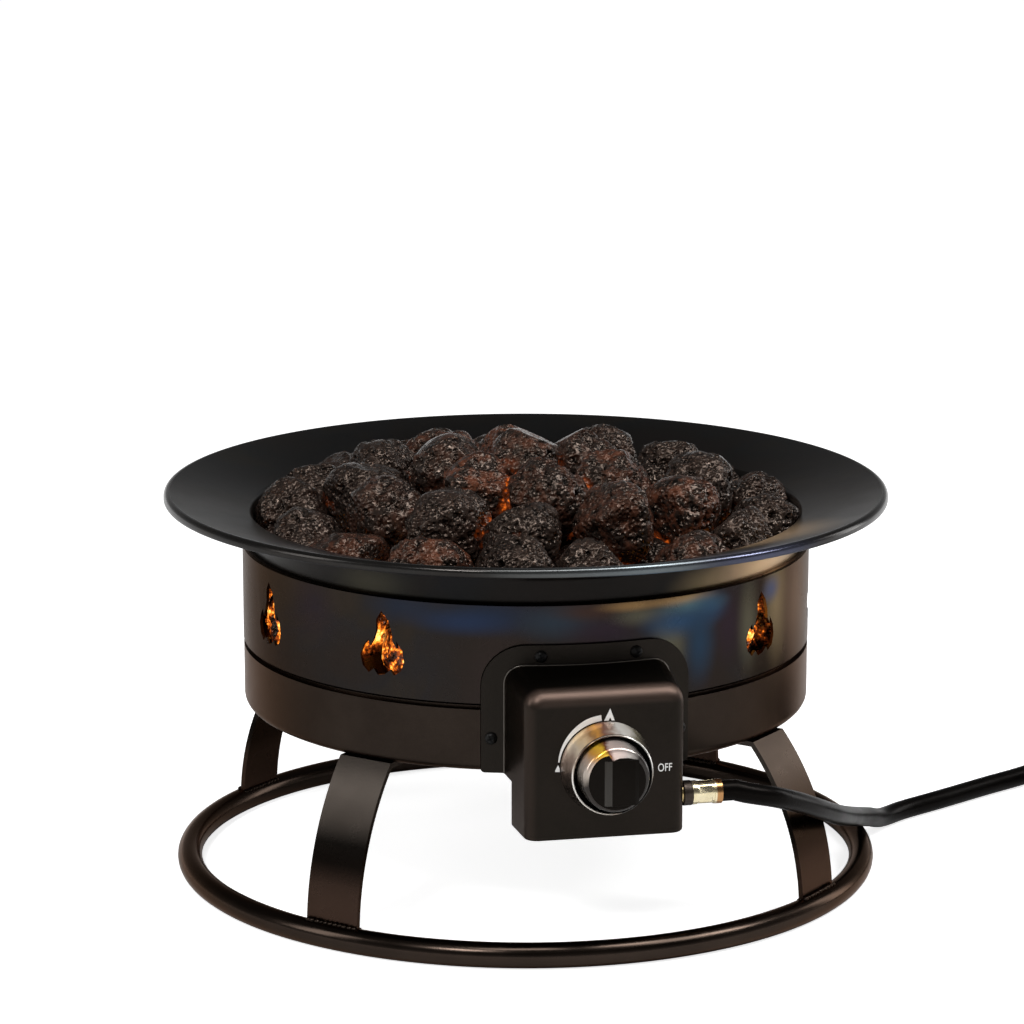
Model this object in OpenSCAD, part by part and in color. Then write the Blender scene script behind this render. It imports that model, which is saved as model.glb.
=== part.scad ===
// Portable gas fire bowl: a wheel-shaped stand of tube and strap carries a pan for the gas
// fittings, a bowl of lava rock above it, a control box with one knob, and a rubber hose.
// +Z is up, the control box faces -Y, and the origin is on the floor under the bowl's centre.

/* [Rim and bowl] */
// Outside diameter of the flared rim
rim_d = 470; // [430:1:565]
// Height of the rim's top edge above the floor
rim_h = 254; // [211:1:305]
// Height of the rolled lip at the rim's edge
lip_h = 6; // [5:0.5:8]
// Depth of the flare from lip to throat
flare_h = 15; // [10:1:20]
// Inside diameter of the throat below the flare
throat_d = 357; // [340:1:360]
// Outside diameter of the bowl's wall
bowl_d = 369; // [368:1:443]
// Height of the bowl's wall
bowl_h = 64.5; // [60:0.5:78]
// Neck left showing between the bowl's wall and the rim's throat
neck_show = 18; // [14:1:22]
// Thickness of the pressed steel sheet
sheet_t = 2; // [1.6:0.1:2.4]
// Flame cut-outs in the wall, on each side of the control box
cutouts_a_side = 4; // [2:1:4]
// Angle between neighbouring cut-outs
cutout_step = 33; // [28:1:33]
// Height of a cut-out
cutout_h = 41; // [34:1:42]

/* [Pan] */
// Outside diameter of the lower pan
pan_d = 368.6; // [368:0.1:369]
// Height of the pan's wall
pan_h = 39.5; // [36:0.5:47]
// Dark groove between the pan and the bowl
groove_h = 2.5; // [2:0.5:4]

/* [Stand] */
// Diameter of the floor ring, to the middle of its tube
ring_d = 444; // [420:1:480]
// Diameter of the floor ring's tube
tube_d = 16; // [13:0.5:19]
// Width of a leg strap
leg_w = 38; // [32:1:45]
// Thickness of a leg strap
leg_t = 3.2; // [2.7:0.1:3.9]

/* [Control box] */
// Width of the box's face
box_w = 98; // [82:1:117]
// Height of the box's face
box_h = 92; // [80:1:96]
// How far the face stands out from the bowl's wall
box_reach = 48.5; // [46:0.5:58]
// How far the box hangs below the pan
box_drop = 28; // [24:1:30]
// Width of the curved mounting plate
plate_w = box_w + 33; // [128:1:136]
// Height of the mounting plate
plate_h = 81; // [78:1:84]

/* [Knob] */
// Diameter of the chrome bezel where it meets the box
bezel_d = 57; // [50:1:68]
// Diameter of the knob's face
knob_d = 40; // [34:1:40]
// How far the knob's face stands off the box
knob_reach = 29; // [26:0.5:34]
// Travel of the knob when it is pushed in
push_travel = 2.5; // [2:0.1:3]
// Diameter of the valve's stem
stem_d = 8; // [7:0.5:9]

/* [Burner and rock] */
// Diameter of the burner ring, to the middle of its tube
burner_d = 190; // [160:1:228]
// Diameter of the burner's tube
burner_tube_d = 16; // [14:0.5:19]
// Height of the burner's centre line over the bowl's floor
burner_lift = 20; // [18:1:24]
// Gas ports round the burner
ports = 28; // [20:1:34]
// Half the size of the largest lava rock
rock_r = 33; // [28:1:40]

/* [Hose] */
// Outside diameter of the hose
hose_d = 13; // [11:0.5:14]
// Radius of the stored coil, to the middle of its outermost turn
coil_r = 89; // [85:1:107]
// Turns in the stored coil, in two layers
coil_turns = 5.33; // [4.33:1:6.33]

/* [Hidden] */
$fn = 96;
seat = 0.3;              // gap at a curved seat
run_gap = 0.05;          // radial clearance of a turning fit

bowl_r = bowl_d / 2;
bowl_in = bowl_r - sheet_t;
throat_r = throat_d / 2;
rim_r = rim_d / 2;
throat_bead = 1.5;
throat_z = rim_h - flare_h;
bowl_top = throat_z - neck_show - 1.5;
bowl_z = bowl_top - bowl_h;
floor_z = bowl_z + sheet_t;
pan_r = pan_d / 2;
pan_top = bowl_z - groove_h;
pan_z = pan_top - pan_h;
neck_z = bowl_top - 12;
ring_r = ring_d / 2;
tube_r = tube_d / 2;

// Pan: the ledge that carries the bowl, and its screws
joggle = 4;
ledge_w = 20;
bowl_screw_r = pan_r - joggle - ledge_w / 2;
bowl_screw_az = [30, 90, 150, 210, 270, 330];

// Legs: one bow from the pan's edge down to the floor ring
leg_az = [-45, 45, 135, -135];
leg_foot_r = ring_r - 0.8;
leg_foot_z = tube_r;
leg_head_r = pan_r - 1;
leg_bow_dr = leg_foot_r - leg_head_r;
leg_bow_dz = pan_z - leg_foot_z;
leg_bow_r = (leg_bow_dr * leg_bow_dr + leg_bow_dz * leg_bow_dz) / (2 * leg_bow_dr);
leg_tab = 36;
leg_screw_r = [pan_r - 17, pan_r - 31];

// Control box: its walls, its mounting plate and the screws that hold it
box_t = 2;
box_flare = 3;
face_y = -(bowl_r + box_reach);
box_z = pan_z - box_drop;
box_top = box_z + box_h;
box_back_y = face_y + 35;
box_rise = 5;
knob_z = box_z + 44.5;
plate_in = bowl_r + seat;
plate_out = plate_in + 2;
plate_z = pan_z + 0.5;
plate_corner = 27;
plate_low = [asin((plate_w / 2 - 5.9184) / plate_out), pan_z + 22.5];
plate_high = [9.2, plate_z + plate_h - 7];
screw_d = 4;

// Valve and knob, measured back from the box's face
valve_flange_t = 3;
valve_y = face_y + box_t;
valve_back = valve_y + 31;
bush_d = 13.2;
bush_depth = 10;
collar_t = 3;
jet_d = 8;
jet_end = valve_back + 32;
bezel_h = 17;
bezel_front_r = bezel_d / 2 - 3.5;
bezel_wall = 1.3;
knob_back = face_y - 7.5;
knob_front = face_y - knob_reach;
knob_wall = 2;
knob_flare = 1.75;

// Burner feed
riser_d = 18;
riser_bore = 14;
elbow_r = 18;
mouth_d = 25;
mouth_y = valve_back + 22;

// Gas inlet, through the box's right wall
inlet_y = face_y + 14;
inlet_z = box_z + 21;
inlet_d = 12;
wall_x = box_w / 2 + 1.5;
collar_w = 6;
ferrule_l = 18.5;
hose_x = wall_x + collar_w + ferrule_l;

// Hose: points of the stretch that lies open, then the coil that stores the rest
hose_r = hose_d / 2;
hose_start = [hose_x, inlet_y, inlet_z];
hose_points = [
    [92, -218.5, 103.5], [111, -213, 98], [132, -196, 88], [153, -172, 75],
    [176, -135, 59], [211, -54, 31.5], [232, -16, 18.6], [249, 11, 9],
    [271, 31, 7.1], [302, 49, 7], [344, 74, 7], [378, 93, 7.2]
];
tie_t = 1.2;
coil_gap = 0.6;
coil_c = [484, 50];
coil_start = 115.4;
coil_z = hose_r + tie_t + 0.2;
coil_pitch = hose_d + coil_gap;
coil_mid = coil_turns * 180;
lead = 20;
far_lead = 44;
coil_in = coil_r - coil_pitch * coil_turns / 2;
loop_steps = 24;

// Regulator at the far end, in line with the coil's last turn
reg_lead = 30;
reg_r = 30;
reg_port_z = coil_z + coil_pitch;
nut_r = 20.4;
nut_thread_r = 15.4;

function at_az(a, r, z) = [r * sin(a), -r * cos(a), z];
function unit(v) = v / norm(v);
function flat_turn(p, a) = [p[0] * cos(a) - p[1] * sin(a), p[0] * sin(a) + p[1] * cos(a)];

// Outline with a round of radius p[2] at each corner
function arc_corner(a, p, b, r, n) =
    let (u = unit([a[0] - p[0], a[1] - p[1]]), v = unit([b[0] - p[0], b[1] - p[1]]),
         half = acos(max(-1, min(1, u * v))) / 2, m = unit(u + v),
         c = [p[0], p[1]] + m * r / sin(half), s = u[0] * v[1] - u[1] * v[0] > 0 ? -1 : 1,
         from = -m, sweep = 180 - 2 * half)
    [for (i = [0 : n]) c + r * flat_turn(from, s * sweep * (0.5 - i / n) * -1)];
function rounded(pts, n = 6) =
    [for (i = [0 : len(pts) - 1])
        let (a = pts[(i + len(pts) - 1) % len(pts)], p = pts[i], b = pts[(i + 1) % len(pts)])
        each p[2] > 0 ? arc_corner(a, p, b, p[2], n) : [[p[0], p[1]]]];

// Smooth curve through points, steps pieces to a span
function spline_at(a, b, c, d, t) =
    0.5 * ((2 * b) + (c - a) * t + (2 * a - 5 * b + 4 * c - d) * t * t
    + (3 * b - a - 3 * c + d) * t * t * t);
function spline(p, steps) =
    let (n = len(p) - 1)
    concat([for (i = [0 : n - 1], k = [0 : steps - 1])
        spline_at(p[max(0, i - 1)], p[i], p[i + 1], p[min(n, i + 2)], k / steps)], [p[n]]);

// Round tube of radius r with its middle on a path that never runs straight up
module tube_along(path, r, sides) {
    n = len(path);
    points = [for (i = [0 : n - 1])
        let (t = unit(path[min(n - 1, i + 1)] - path[max(0, i - 1)]),
             s = unit(cross(t, [0, 0, 1])), u = cross(s, t))
        for (k = [0 : sides - 1])
            path[i] + r * (cos(360 * k / sides + 90) * s + sin(360 * k / sides + 90) * u)];
    walls = [for (i = [0 : n - 2], k = [0 : sides - 1])
        let (a = i * sides + k, b = i * sides + (k + 1) % sides)
        each [[a, a + sides, b + sides], [a, b + sides, b]]];
    ends = [for (k = [1 : sides - 2]) each [[0, k, k + 1],
        [(n - 1) * sides, (n - 1) * sides + k + 1, (n - 1) * sides + k]]];
    polyhedron(points, concat(walls, ends));
}

// Pan-head screw along the outward normal of the wall, its head on the surface at y = 0
module screw(shank, length, head = 8, head_h = 2.6) {
    rotate([90, 0, 0]) {
        cylinder(d1 = head, d2 = head * 0.7, h = head_h);
        translate([0, 0, -length]) cylinder(d = shank, h = length);
    }
}

module on_wall(az, r, z) { rotate([0, 0, az]) translate([0, -r, z]) children(); }

module hex(across, h) { cylinder(d = across / cos(30), h = h, $fn = 6); }

// ---- Rim and bowl

module rim_ring() {
    color("#2b2624") difference() {
        rotate_extrude($fn = 144) polygon(concat(
            [[throat_r, neck_z]],
            [for (i = [0 : 6]) let (a = 12.5 * i)
                [throat_r - throat_bead + 8 * (1 - cos(a)) * 0.6, throat_z - 6 + 8 * sin(a)]],
            [[rim_r - 3.5, rim_h - 1.2], [rim_r - 2.2, rim_h], [rim_r - 0.7, rim_h - 0.5],
             [rim_r, rim_h - 2], [rim_r, rim_h - lip_h], [rim_r - 1.6, rim_h - lip_h],
             [rim_r - 2.6, rim_h - 3.4], [throat_r + 9, throat_z + 2 - sheet_t],
             [throat_r + 2.8, throat_z - 3], [throat_r + sheet_t, throat_z - 9],
             [throat_r + sheet_t, neck_z]]));
    }
}

// Flame outline, one tall tongue and two low ones, drawn one unit high
function flame_outline() = [
    [-0.06, 0], [-0.13, 0.09], [-0.22, 0.02], [-0.33, 0.12], [-0.37, 0.28], [-0.31, 0.43],
    [-0.22, 0.53], [-0.2, 0.43], [-0.14, 0.52], [-0.08, 0.68], [-0.08, 0.86], [0.01, 1],
    [0.13, 0.86], [0.19, 0.68], [0.2, 0.54], [0.27, 0.44], [0.26, 0.56], [0.36, 0.42],
    [0.39, 0.25], [0.34, 0.1], [0.22, 0.02], [0.16, 0.1], [0.06, 0.02]];

module flame_cut(az) {
    on_wall(az, bowl_r + 5, bowl_z + 14)
        rotate([90, 0, 0]) translate([0, 0, -12]) linear_extrude(height = 14)
            polygon([for (p = flame_outline()) [p[0] * cutout_h, p[1] * cutout_h]]);
}

cutout_first = 41;
cutout_az = [for (side = [-1, 1], i = [0 : cutouts_a_side - 1])
    side * (cutout_first + i * cutout_step)];

module fire_bowl() {
    color("#2a2624") difference() {
        rotate_extrude($fn = 144) polygon([
            [0, bowl_z], [bowl_r - 1.5, bowl_z], [bowl_r, bowl_z + 1.5], [bowl_r, bowl_top - 1],
            [bowl_r - 1, bowl_top], [throat_r + sheet_t + seat, bowl_top],
            [throat_r + sheet_t + seat, bowl_top - sheet_t], [bowl_in, bowl_top - sheet_t],
            [bowl_in, floor_z], [0, floor_z]]);
        for (az = cutout_az) flame_cut(az);
        translate([0, 0, bowl_z - 1]) cylinder(d = riser_d + 1, h = 9);
        for (i = [0 : 11]) translate(at_az(15 + i * 30, 135, bowl_z - 1)) cylinder(d = 12, h = 9);
        for (az = bowl_screw_az)
            translate(at_az(az, bowl_screw_r, bowl_z - 1)) cylinder(d = 5.4, h = 9);
        for (az = bracket_az)
            translate(at_az(az, bracket_screw_r, bowl_z - 1)) cylinder(d = 4.4, h = 9);
        for (s = [-1, 1]) on_wall(s * plate_high[0], bowl_r, plate_high[1])
            rotate([90, 0, 0]) translate([0, 0, -6]) cylinder(d = screw_d + 0.3, h = 12);
    }
}

module base_pan() {
    top_in = pan_r - joggle - ledge_w;
    color("#2c2421") difference() {
        rotate_extrude($fn = 144) polygon(concat(
            [[0, pan_z], [pan_r - 6, pan_z]],
            [for (i = [1 : 5]) [pan_r - 6 + 6 * sin(18 * i), pan_z + 6 - 6 * cos(18 * i)]],
            [[pan_r, pan_top], [pan_r - joggle, pan_top], [pan_r - joggle, bowl_z],
             [top_in, bowl_z], [top_in, bowl_z - sheet_t], [pan_r - joggle - sheet_t, bowl_z - sheet_t],
             [pan_r - joggle - sheet_t, pan_top - sheet_t], [pan_r - sheet_t, pan_top - sheet_t],
             [pan_r - sheet_t, pan_z + 6], [pan_r - 6, pan_z + sheet_t], [0, pan_z + sheet_t]]));
        for (az = bowl_screw_az)
            translate(at_az(az, bowl_screw_r, bowl_z - 5)) cylinder(d = 5.4, h = 9);
        for (az = leg_az, r = leg_screw_r)
            translate(at_az(az, r, pan_z - 1)) cylinder(d = 5.4, h = 6);
        for (i = [0 : 7]) rotate([0, 0, i * 45])
            translate([60, -4, pan_z - 1]) cube([45, 8, 6]);
        translate([-34, -pan_r - 5, pan_z + 4.5]) cube([68, 30, 29.5]);
        for (s = [-1, 1]) on_wall(s * plate_low[0], pan_r, plate_low[1])
            rotate([90, 0, 0]) translate([0, 0, -6]) cylinder(d = screw_d + 0.3, h = 12);
    }
}

module bowl_screws() {
    color("#4a4644") for (az = bowl_screw_az) translate(at_az(az, bowl_screw_r, floor_z)) {
        rotate([-90, 0, 0]) screw(5, 10, 9, 3);
        translate([0, 0, -sheet_t * 2 - 4.2]) difference() {
            hex(8, 4);
            translate([0, 0, -1]) cylinder(d = 5, h = 6);
        }
    }
}

// ---- Burner

burner_z = floor_z + burner_lift;
burner_r = burner_d / 2;
burner_tube_r = burner_tube_d / 2;
burner_bore_r = burner_tube_r - 1.5;
bracket_az = [45, 135, 225, 315];
bracket_screw_r = burner_r - 17;

module burner_ring() {
    color("#8d8a86") difference() {
        union() {
            rotate_extrude() translate([burner_r, burner_z]) circle(r = burner_tube_r, $fn = 48);
            translate([0, burner_r, burner_z]) rotate([90, 0, 0])
                cylinder(r = burner_tube_r, h = burner_d, $fn = 48);
            translate([0, 0, floor_z]) cylinder(d = 30, h = burner_lift + burner_tube_r + 2);
        }
        rotate_extrude() translate([burner_r, burner_z]) circle(r = burner_bore_r, $fn = 48);
        translate([0, burner_r, burner_z]) rotate([90, 0, 0])
            cylinder(r = burner_bore_r, h = burner_d, $fn = 48);
        translate([0, 0, floor_z - 1]) cylinder(d = riser_d + 0.2, h = burner_lift - 6);
        translate([0, 0, floor_z - 1]) cylinder(d = riser_bore, h = burner_lift + 1);
        for (i = [0 : ports - 1]) rotate([0, 0, (i + 0.5) * 360 / ports])
            translate([0, -burner_r, burner_z]) rotate([60, 0, 0]) cylinder(d = 2.6, h = 12, $fn = 24);
    }
}

module burner_brackets() {
    color("#6f6b67") for (az = bracket_az) rotate([0, 0, az]) difference() {
        union() {
            translate([-8, -burner_r - 1, floor_z]) cube([16, 27, 2]);
            translate([-8, -burner_r - 1, floor_z]) cube([16, 2, burner_lift - 4]);
        }
        rotate_extrude() translate([burner_r, burner_z]) circle(r = burner_tube_r + 0.2, $fn = 48);
        translate([0, -bracket_screw_r, floor_z - 1]) cylinder(d = 4.4, h = 5);
    }
}

module burner_screws() {
    color("#a9a6a2") for (az = bracket_az)
        translate(at_az(az, bracket_screw_r, floor_z + 2)) {
            rotate([-90, 0, 0]) screw(4, 9, 7.5, 2.4);
            translate([0, 0, -sheet_t - 2 - 3.4]) difference() {
                hex(7, 3.2);
                translate([0, 0, -1]) cylinder(d = 4, h = 6);
            }
        }
}

module riser_nut() {
    color("#8d8a86") translate([0, 0, bowl_z - 7]) difference() {
        hex(28, 7);
        translate([0, 0, -1]) cylinder(d = riser_d + 0.2, h = 9);
    }
}

module venturi_tube() {
    straight_y = mouth_y + 26;
    color("#9a9690") difference() {
        union() {
            translate([0, 0, knob_z + elbow_r]) cylinder(d = riser_d, h = floor_z + 12 - knob_z - elbow_r);
            translate([0, -elbow_r, knob_z + elbow_r]) rotate([0, 90, 0]) rotate([0, 0, 0])
                rotate_extrude(angle = 90) translate([elbow_r, 0]) circle(d = riser_d, $fn = 48);
            translate([0, -elbow_r, knob_z]) rotate([90, 0, 0])
                cylinder(d = riser_d, h = -elbow_r - straight_y);
            translate([0, straight_y, knob_z]) rotate([90, 0, 0])
                cylinder(d1 = riser_d, d2 = mouth_d, h = 10);
            translate([0, straight_y - 10, knob_z]) rotate([90, 0, 0])
                cylinder(d = mouth_d, h = straight_y - 10 - mouth_y);
        }
        translate([0, 0, knob_z + elbow_r]) cylinder(d = riser_bore, h = 60);
        translate([0, -elbow_r, knob_z + elbow_r]) rotate([0, 90, 0])
            rotate_extrude(angle = 90) translate([elbow_r, 0]) circle(d = riser_bore, $fn = 48);
        translate([0, -elbow_r + 0.01, knob_z]) rotate([90, 0, 0])
            cylinder(d = riser_bore, h = -elbow_r - straight_y + 0.02);
        translate([0, straight_y, knob_z]) rotate([90, 0, 0])
            cylinder(d1 = riser_bore, d2 = mouth_d - 4, h = 10.01);
        translate([0, straight_y - 10, knob_z]) rotate([90, 0, 0])
            cylinder(d = mouth_d - 4, h = straight_y - 10 - mouth_y - 3);
        translate([0, mouth_y + 4, knob_z]) rotate([90, 0, 0]) cylinder(d = jet_d + 0.4, h = 6);
        translate([-mouth_d, mouth_y + 6, knob_z - 4]) cube([2 * mouth_d, 8, 8]);
    }
}

module air_shutter() {
    color("#7c7873") translate([0, mouth_y + 15.5, knob_z]) rotate([90, 0, 0]) difference() {
        cylinder(d = mouth_d + 3, h = 12.5);
        translate([0, 0, -1]) cylinder(d = mouth_d + 0.4, h = 15);
        translate([-mouth_d, -3, 3]) cube([2 * mouth_d, 9, 7]);
    }
}

// ---- Lava rock

// Rows of rocks: distance from the middle, height over the bowl's floor, how many, turn
rock_rows = [
    [throat_r - 24, 25, 18, 0], [55, 24, 6, 30], [burner_r + 9, 49, 12, 12],
    [throat_r - 24, 70, 17, 6], [53, 62, 6, 32], [0, 56, 1, 0],
    [throat_r - 70, 88, 12, 20], [52, 102, 6, 8], [4, 108, 1, 0]
];
rock_gap = 0.15;

function rock_centres() = [for (row = rock_rows, i = [0 : row[2] - 1])
    let (jog = rands(-1, 1, 3, 100 * row[2] + 7 * i + row[1]))
    at_az(row[3] + 360 * (i + 0.16 * jog[0]) / row[2], row[0] + 4 * jog[1],
        floor_z + row[1] + 4 * jog[2])];
rocks = rock_centres();

// Points that the rocks keep clear of, each with its distance
rock_guards = concat(
    [for (i = [0 : 35]) concat(at_az(i * 10, burner_r, burner_z), burner_tube_r * 1.5)],
    [for (i = [-5 : 5]) [0, i * burner_r / 6, burner_z, burner_tube_r * 1.7]],
    [for (az = bracket_az) concat(at_az(az, bracket_screw_r, floor_z + 4), 9)],
    [for (az = bowl_screw_az) concat(at_az(az, bowl_screw_r, floor_z + 1), 7)],
    [[0, 0, burner_z, 19]]);

function rock_planes(i) = let (c = rocks[i]) concat(
    [for (j = [0 : len(rocks) - 1]) if (j != i && norm(rocks[j] - c) < 2.3 * rock_r)
        let (d = rocks[j] - c, l = norm(d)) [d[0] / l, d[1] / l, d[2] / l, l / 2 - rock_gap]],
    [for (g = rock_guards) let (d = [g[0], g[1], g[2]] - c, l = norm(d))
        if (l < rock_r + g[3]) [d[0] / l, d[1] / l, d[2] / l, l - g[3]]]);

function wall_reach(c, u) =
    let (a = u[0] * u[0] + u[1] * u[1], b = c[0] * u[0] + c[1] * u[1],
         k = c[0] * c[0] + c[1] * c[1] - pow(throat_r - throat_bead - seat, 2))
    a < 0.001 ? 1000 : (-b + sqrt(b * b - a * k)) / a;
function rock_reach(c, u, planes, size) = min(concat([size, wall_reach(c, u),
    u[2] < -0.01 ? (c[2] - floor_z - seat) / -u[2] : 1000],
    [for (p = planes) let (q = u[0] * p[0] + u[1] * p[1] + u[2] * p[2]) q > 0.02 ? p[3] / q : 1000]));

rock_rings = 5;
rock_sides = 8;
rock_points = 2 + rock_rings * rock_sides;
function tilt(v, a, b) =
    let (p = [v[0], v[1] * cos(a) - v[2] * sin(a), v[1] * sin(a) + v[2] * cos(a)])
    [p[0] * cos(b) - p[1] * sin(b), p[0] * sin(b) + p[1] * cos(b), p[2]];
function rock_dirs(i) =
    let (r = rands(0, 360, 2, 500 + i))
    concat([tilt([0, 0, 1], r[0], r[1])],
        [for (k = [1 : rock_rings], s = [0 : rock_sides - 1])
            let (lat = 180 * k / (rock_rings + 1), lon = 360 * (s + 0.5 * (k % 2)) / rock_sides)
            tilt([sin(lat) * cos(lon), sin(lat) * sin(lon), cos(lat)], r[0], r[1])],
        [tilt([0, 0, -1], r[0], r[1])]);
function rock_shape(i) =
    let (planes = rock_planes(i), dirs = rock_dirs(i),
         bump = rands(0.8, 1, rock_points, 900 + i), size = rock_r * rands(0.88, 1, 1, 40 + i)[0])
    [for (k = [0 : rock_points - 1])
        rocks[i] + dirs[k] * rock_reach(rocks[i], dirs[k], planes, size * bump[k])];
function rock_faces(base) = concat(
    [for (s = [0 : rock_sides - 1]) [base, base + 1 + (s + 1) % rock_sides, base + 1 + s]],
    [for (k = [0 : rock_rings - 2], s = [0 : rock_sides - 1])
        let (a = base + 1 + k * rock_sides + s, b = base + 1 + k * rock_sides + (s + 1) % rock_sides)
        each [[a, b, a + rock_sides], [b, b + rock_sides, a + rock_sides]]],
    [for (s = [0 : rock_sides - 1])
        let (a = base + 1 + (rock_rings - 1) * rock_sides)
        [base + rock_points - 1, a + s, a + (s + 1) % rock_sides]]);

module lava_rocks() {
    color("#3a3431") polyhedron(
        [for (i = [0 : len(rocks) - 1]) each rock_shape(i)],
        [for (i = [0 : len(rocks) - 1]) each rock_faces(i * rock_points)]);
}

// ---- Stand

module leg(az) {
    cx = leg_foot_r - leg_bow_r;
    color("#2c2421") rotate([0, 0, az]) difference() {
        translate([leg_w / 2, 0, 0]) rotate([90, 0, -90]) linear_extrude(height = leg_w) union() {
            intersection() {
                difference() {
                    translate([cx, leg_foot_z]) circle(r = leg_bow_r, $fn = 180);
                    translate([cx, leg_foot_z]) circle(r = leg_bow_r - leg_t, $fn = 180);
                }
                translate([leg_head_r - 20, leg_foot_z]) square([60, leg_bow_dz - 0.02]);
            }
            translate([pan_r - leg_tab - 4, pan_z - leg_t - 0.02]) square([leg_tab + 2, leg_t]);
        }
        rotate_extrude($fn = 144) translate([ring_r, tube_r]) circle(r = tube_r + 0.15, $fn = 64);
        for (r = leg_screw_r) translate([0, -r, pan_z - 8]) cylinder(d = 5.4, h = 10);
    }
}
module leg_front_left() { leg(leg_az[0]); }
module leg_front_right() { leg(leg_az[1]); }
module leg_rear_right() { leg(leg_az[2]); }
module leg_rear_left() { leg(leg_az[3]); }

module base_ring() {
    color("#2a211e") rotate_extrude($fn = 180) translate([ring_r, tube_r]) circle(r = tube_r, $fn = 64);
}

module leg_screws() {
    color("#4a4644") for (az = leg_az, r = leg_screw_r) translate(at_az(az, r, pan_z - leg_t - 0.03)) {
        rotate([90, 0, 0]) screw(5, 10, 9, 3);
        translate([0, 0, leg_t + sheet_t + 0.03]) difference() {
            hex(8, 4);
            translate([0, 0, -1]) cylinder(d = 5, h = 6);
        }
    }
}

// ---- Control box

// The box's outside, drawn in by inset for its inside
module box_form(inset) {
    w = box_w / 2 - inset;
    back = -bowl_r + 40;
    side = rounded([[face_y + inset, box_z + inset, 1.5], [face_y + inset, box_top - inset, 8 - inset],
        [-bowl_r, box_top + box_rise - inset, 0], [back, box_top + box_rise - inset, 0],
        [back, plate_z + inset, 0], [box_back_y - inset, plate_z + inset, 0],
        [box_back_y - inset, box_z + inset, 0]]);
    plan = rounded([[-w, face_y + inset, 8 - inset], [-w - box_flare, -bowl_r, 0], [-w - box_flare, back, 0],
        [w + box_flare, back, 0], [w + box_flare, -bowl_r, 0], [w, face_y + inset, 8 - inset]]);
    front = rounded([[-w - box_flare, box_z - 1 + inset, 2], [-w - box_flare, box_top + box_rise - inset, 14],
        [w + box_flare, box_top + box_rise - inset, 14], [w + box_flare, box_z - 1 + inset, 2]]);
    intersection() {
        translate([-80, 0, 0]) rotate([90, 0, 90]) linear_extrude(height = 160) polygon(side);
        linear_extrude(height = 400) polygon(plan);
        translate([0, -100, 0]) rotate([90, 0, 0]) linear_extrude(height = 200) polygon(front);
    }
}

module control_box() {
    color("#2a2220") difference() {
        box_form(0);
        box_form(box_t);
        cylinder(r = plate_out + 0.1, h = 400, $fn = 144);
        translate([0, face_y + 5, knob_z]) rotate([90, 0, 0]) cylinder(d = stem_d + 1.5, h = 10);
        for (s = [-1, 1]) translate([s * valve_screw_x, face_y, knob_z]) rotate([-90, 0, 0]) {
            translate([0, 0, -1]) cylinder(d = 4.2, h = 5);
            translate([0, 0, -0.01]) cylinder(d1 = 8, d2 = 4.2, h = 1.9);
        }
        translate([wall_x - 8, inlet_y, inlet_z]) rotate([0, 90, 0]) cylinder(d = inlet_d + 0.4, h = 12);
    }
}

module mounting_plate() {
    outline = rounded([[-plate_w / 2, plate_z, 2], [-plate_w / 2, plate_z + plate_h, plate_corner],
        [plate_w / 2, plate_z + plate_h, plate_corner], [plate_w / 2, plate_z, 2]], 10);
    window = rounded([[-34, plate_z + 4, 4], [-34, plate_z + 33.5, 4],
        [34, plate_z + 33.5, 4], [34, plate_z + 4, 4]]);
    color("#2a2422") difference() {
        intersection() {
            rotate([90, 0, 0]) linear_extrude(height = 260) difference() {
                polygon(outline);
                polygon(window);
            }
            difference() {
                cylinder(r = plate_out, h = 400, $fn = 144);
                translate([0, 0, -1]) cylinder(r = plate_in, h = 402, $fn = 144);
            }
        }
        for (s = [-1, 1], at = [plate_low, plate_high]) on_wall(s * at[0], plate_out, at[1])
            rotate([90, 0, 0]) translate([0, 0, -6]) cylinder(d = screw_d + 0.3, h = 12);
    }
}

module plate_screws() {
    color("#3a3634") for (s = [-1, 1], at = [plate_low, plate_high])
        on_wall(s * at[0], plate_out + 0.15, at[1]) screw(screw_d, 9, 8, 2.6);
}

// ---- Valve and knob

valve_screw_x = 17;

module valve_body() {
    color("#b8a878") translate([0, valve_y, knob_z]) rotate([-90, 0, 0]) difference() {
        union() {
            translate([-23, -9, 0]) cube([46, 18, valve_flange_t]);
            cylinder(d = 20, h = 12);
            translate([0, 0, 11]) cylinder(d = 25, h = 20);
            translate([0, 0, 30]) cylinder(d = 13, h = valve_back - valve_y - 13);
            translate([0, 0, 12]) rotate([-90, 0, 0]) cylinder(d = 14, h = knob_z - inlet_z - 9);
        }
        translate([0, 0, -1]) cylinder(d = bush_d, h = bush_depth + 1);
        translate([0, 0, -1]) cylinder(d = stem_d + 2 * run_gap, h = 28);
        translate([0, 0, 29]) cylinder(d = 6, h = 30);
        translate([0, 0, 12]) rotate([-90, 0, 0]) translate([0, 0, 8]) cylinder(d = 7, h = 40);
        for (s = [-1, 1]) translate([s * valve_screw_x, 0, -1]) cylinder(d = 3.8, h = 6);
    }
}

module valve_screws() {
    color("#a9a6a2") for (s = [-1, 1]) translate([s * valve_screw_x, face_y + 0.1, knob_z])
        rotate([-90, 0, 0]) {
            cylinder(d1 = 7.6, d2 = 3.8, h = 1.9);
            cylinder(d = 3.8, h = 7);
        }
}

module orifice_jet() {
    back = valve_y + 30 + valve_back - valve_y - 13;
    color("#c8a85a") translate([0, back, knob_z]) rotate([-90, 0, 0]) difference() {
        union() {
            hex(11, 4);
            translate([0, 0, 3.9]) cylinder(d = jet_d, h = 12);
        }
        translate([0, 0, -1]) cylinder(d = 4, h = 14);
        translate([0, 0, 10]) cylinder(d = 1.2, h = 10, $fn = 24);
    }
}

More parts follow.
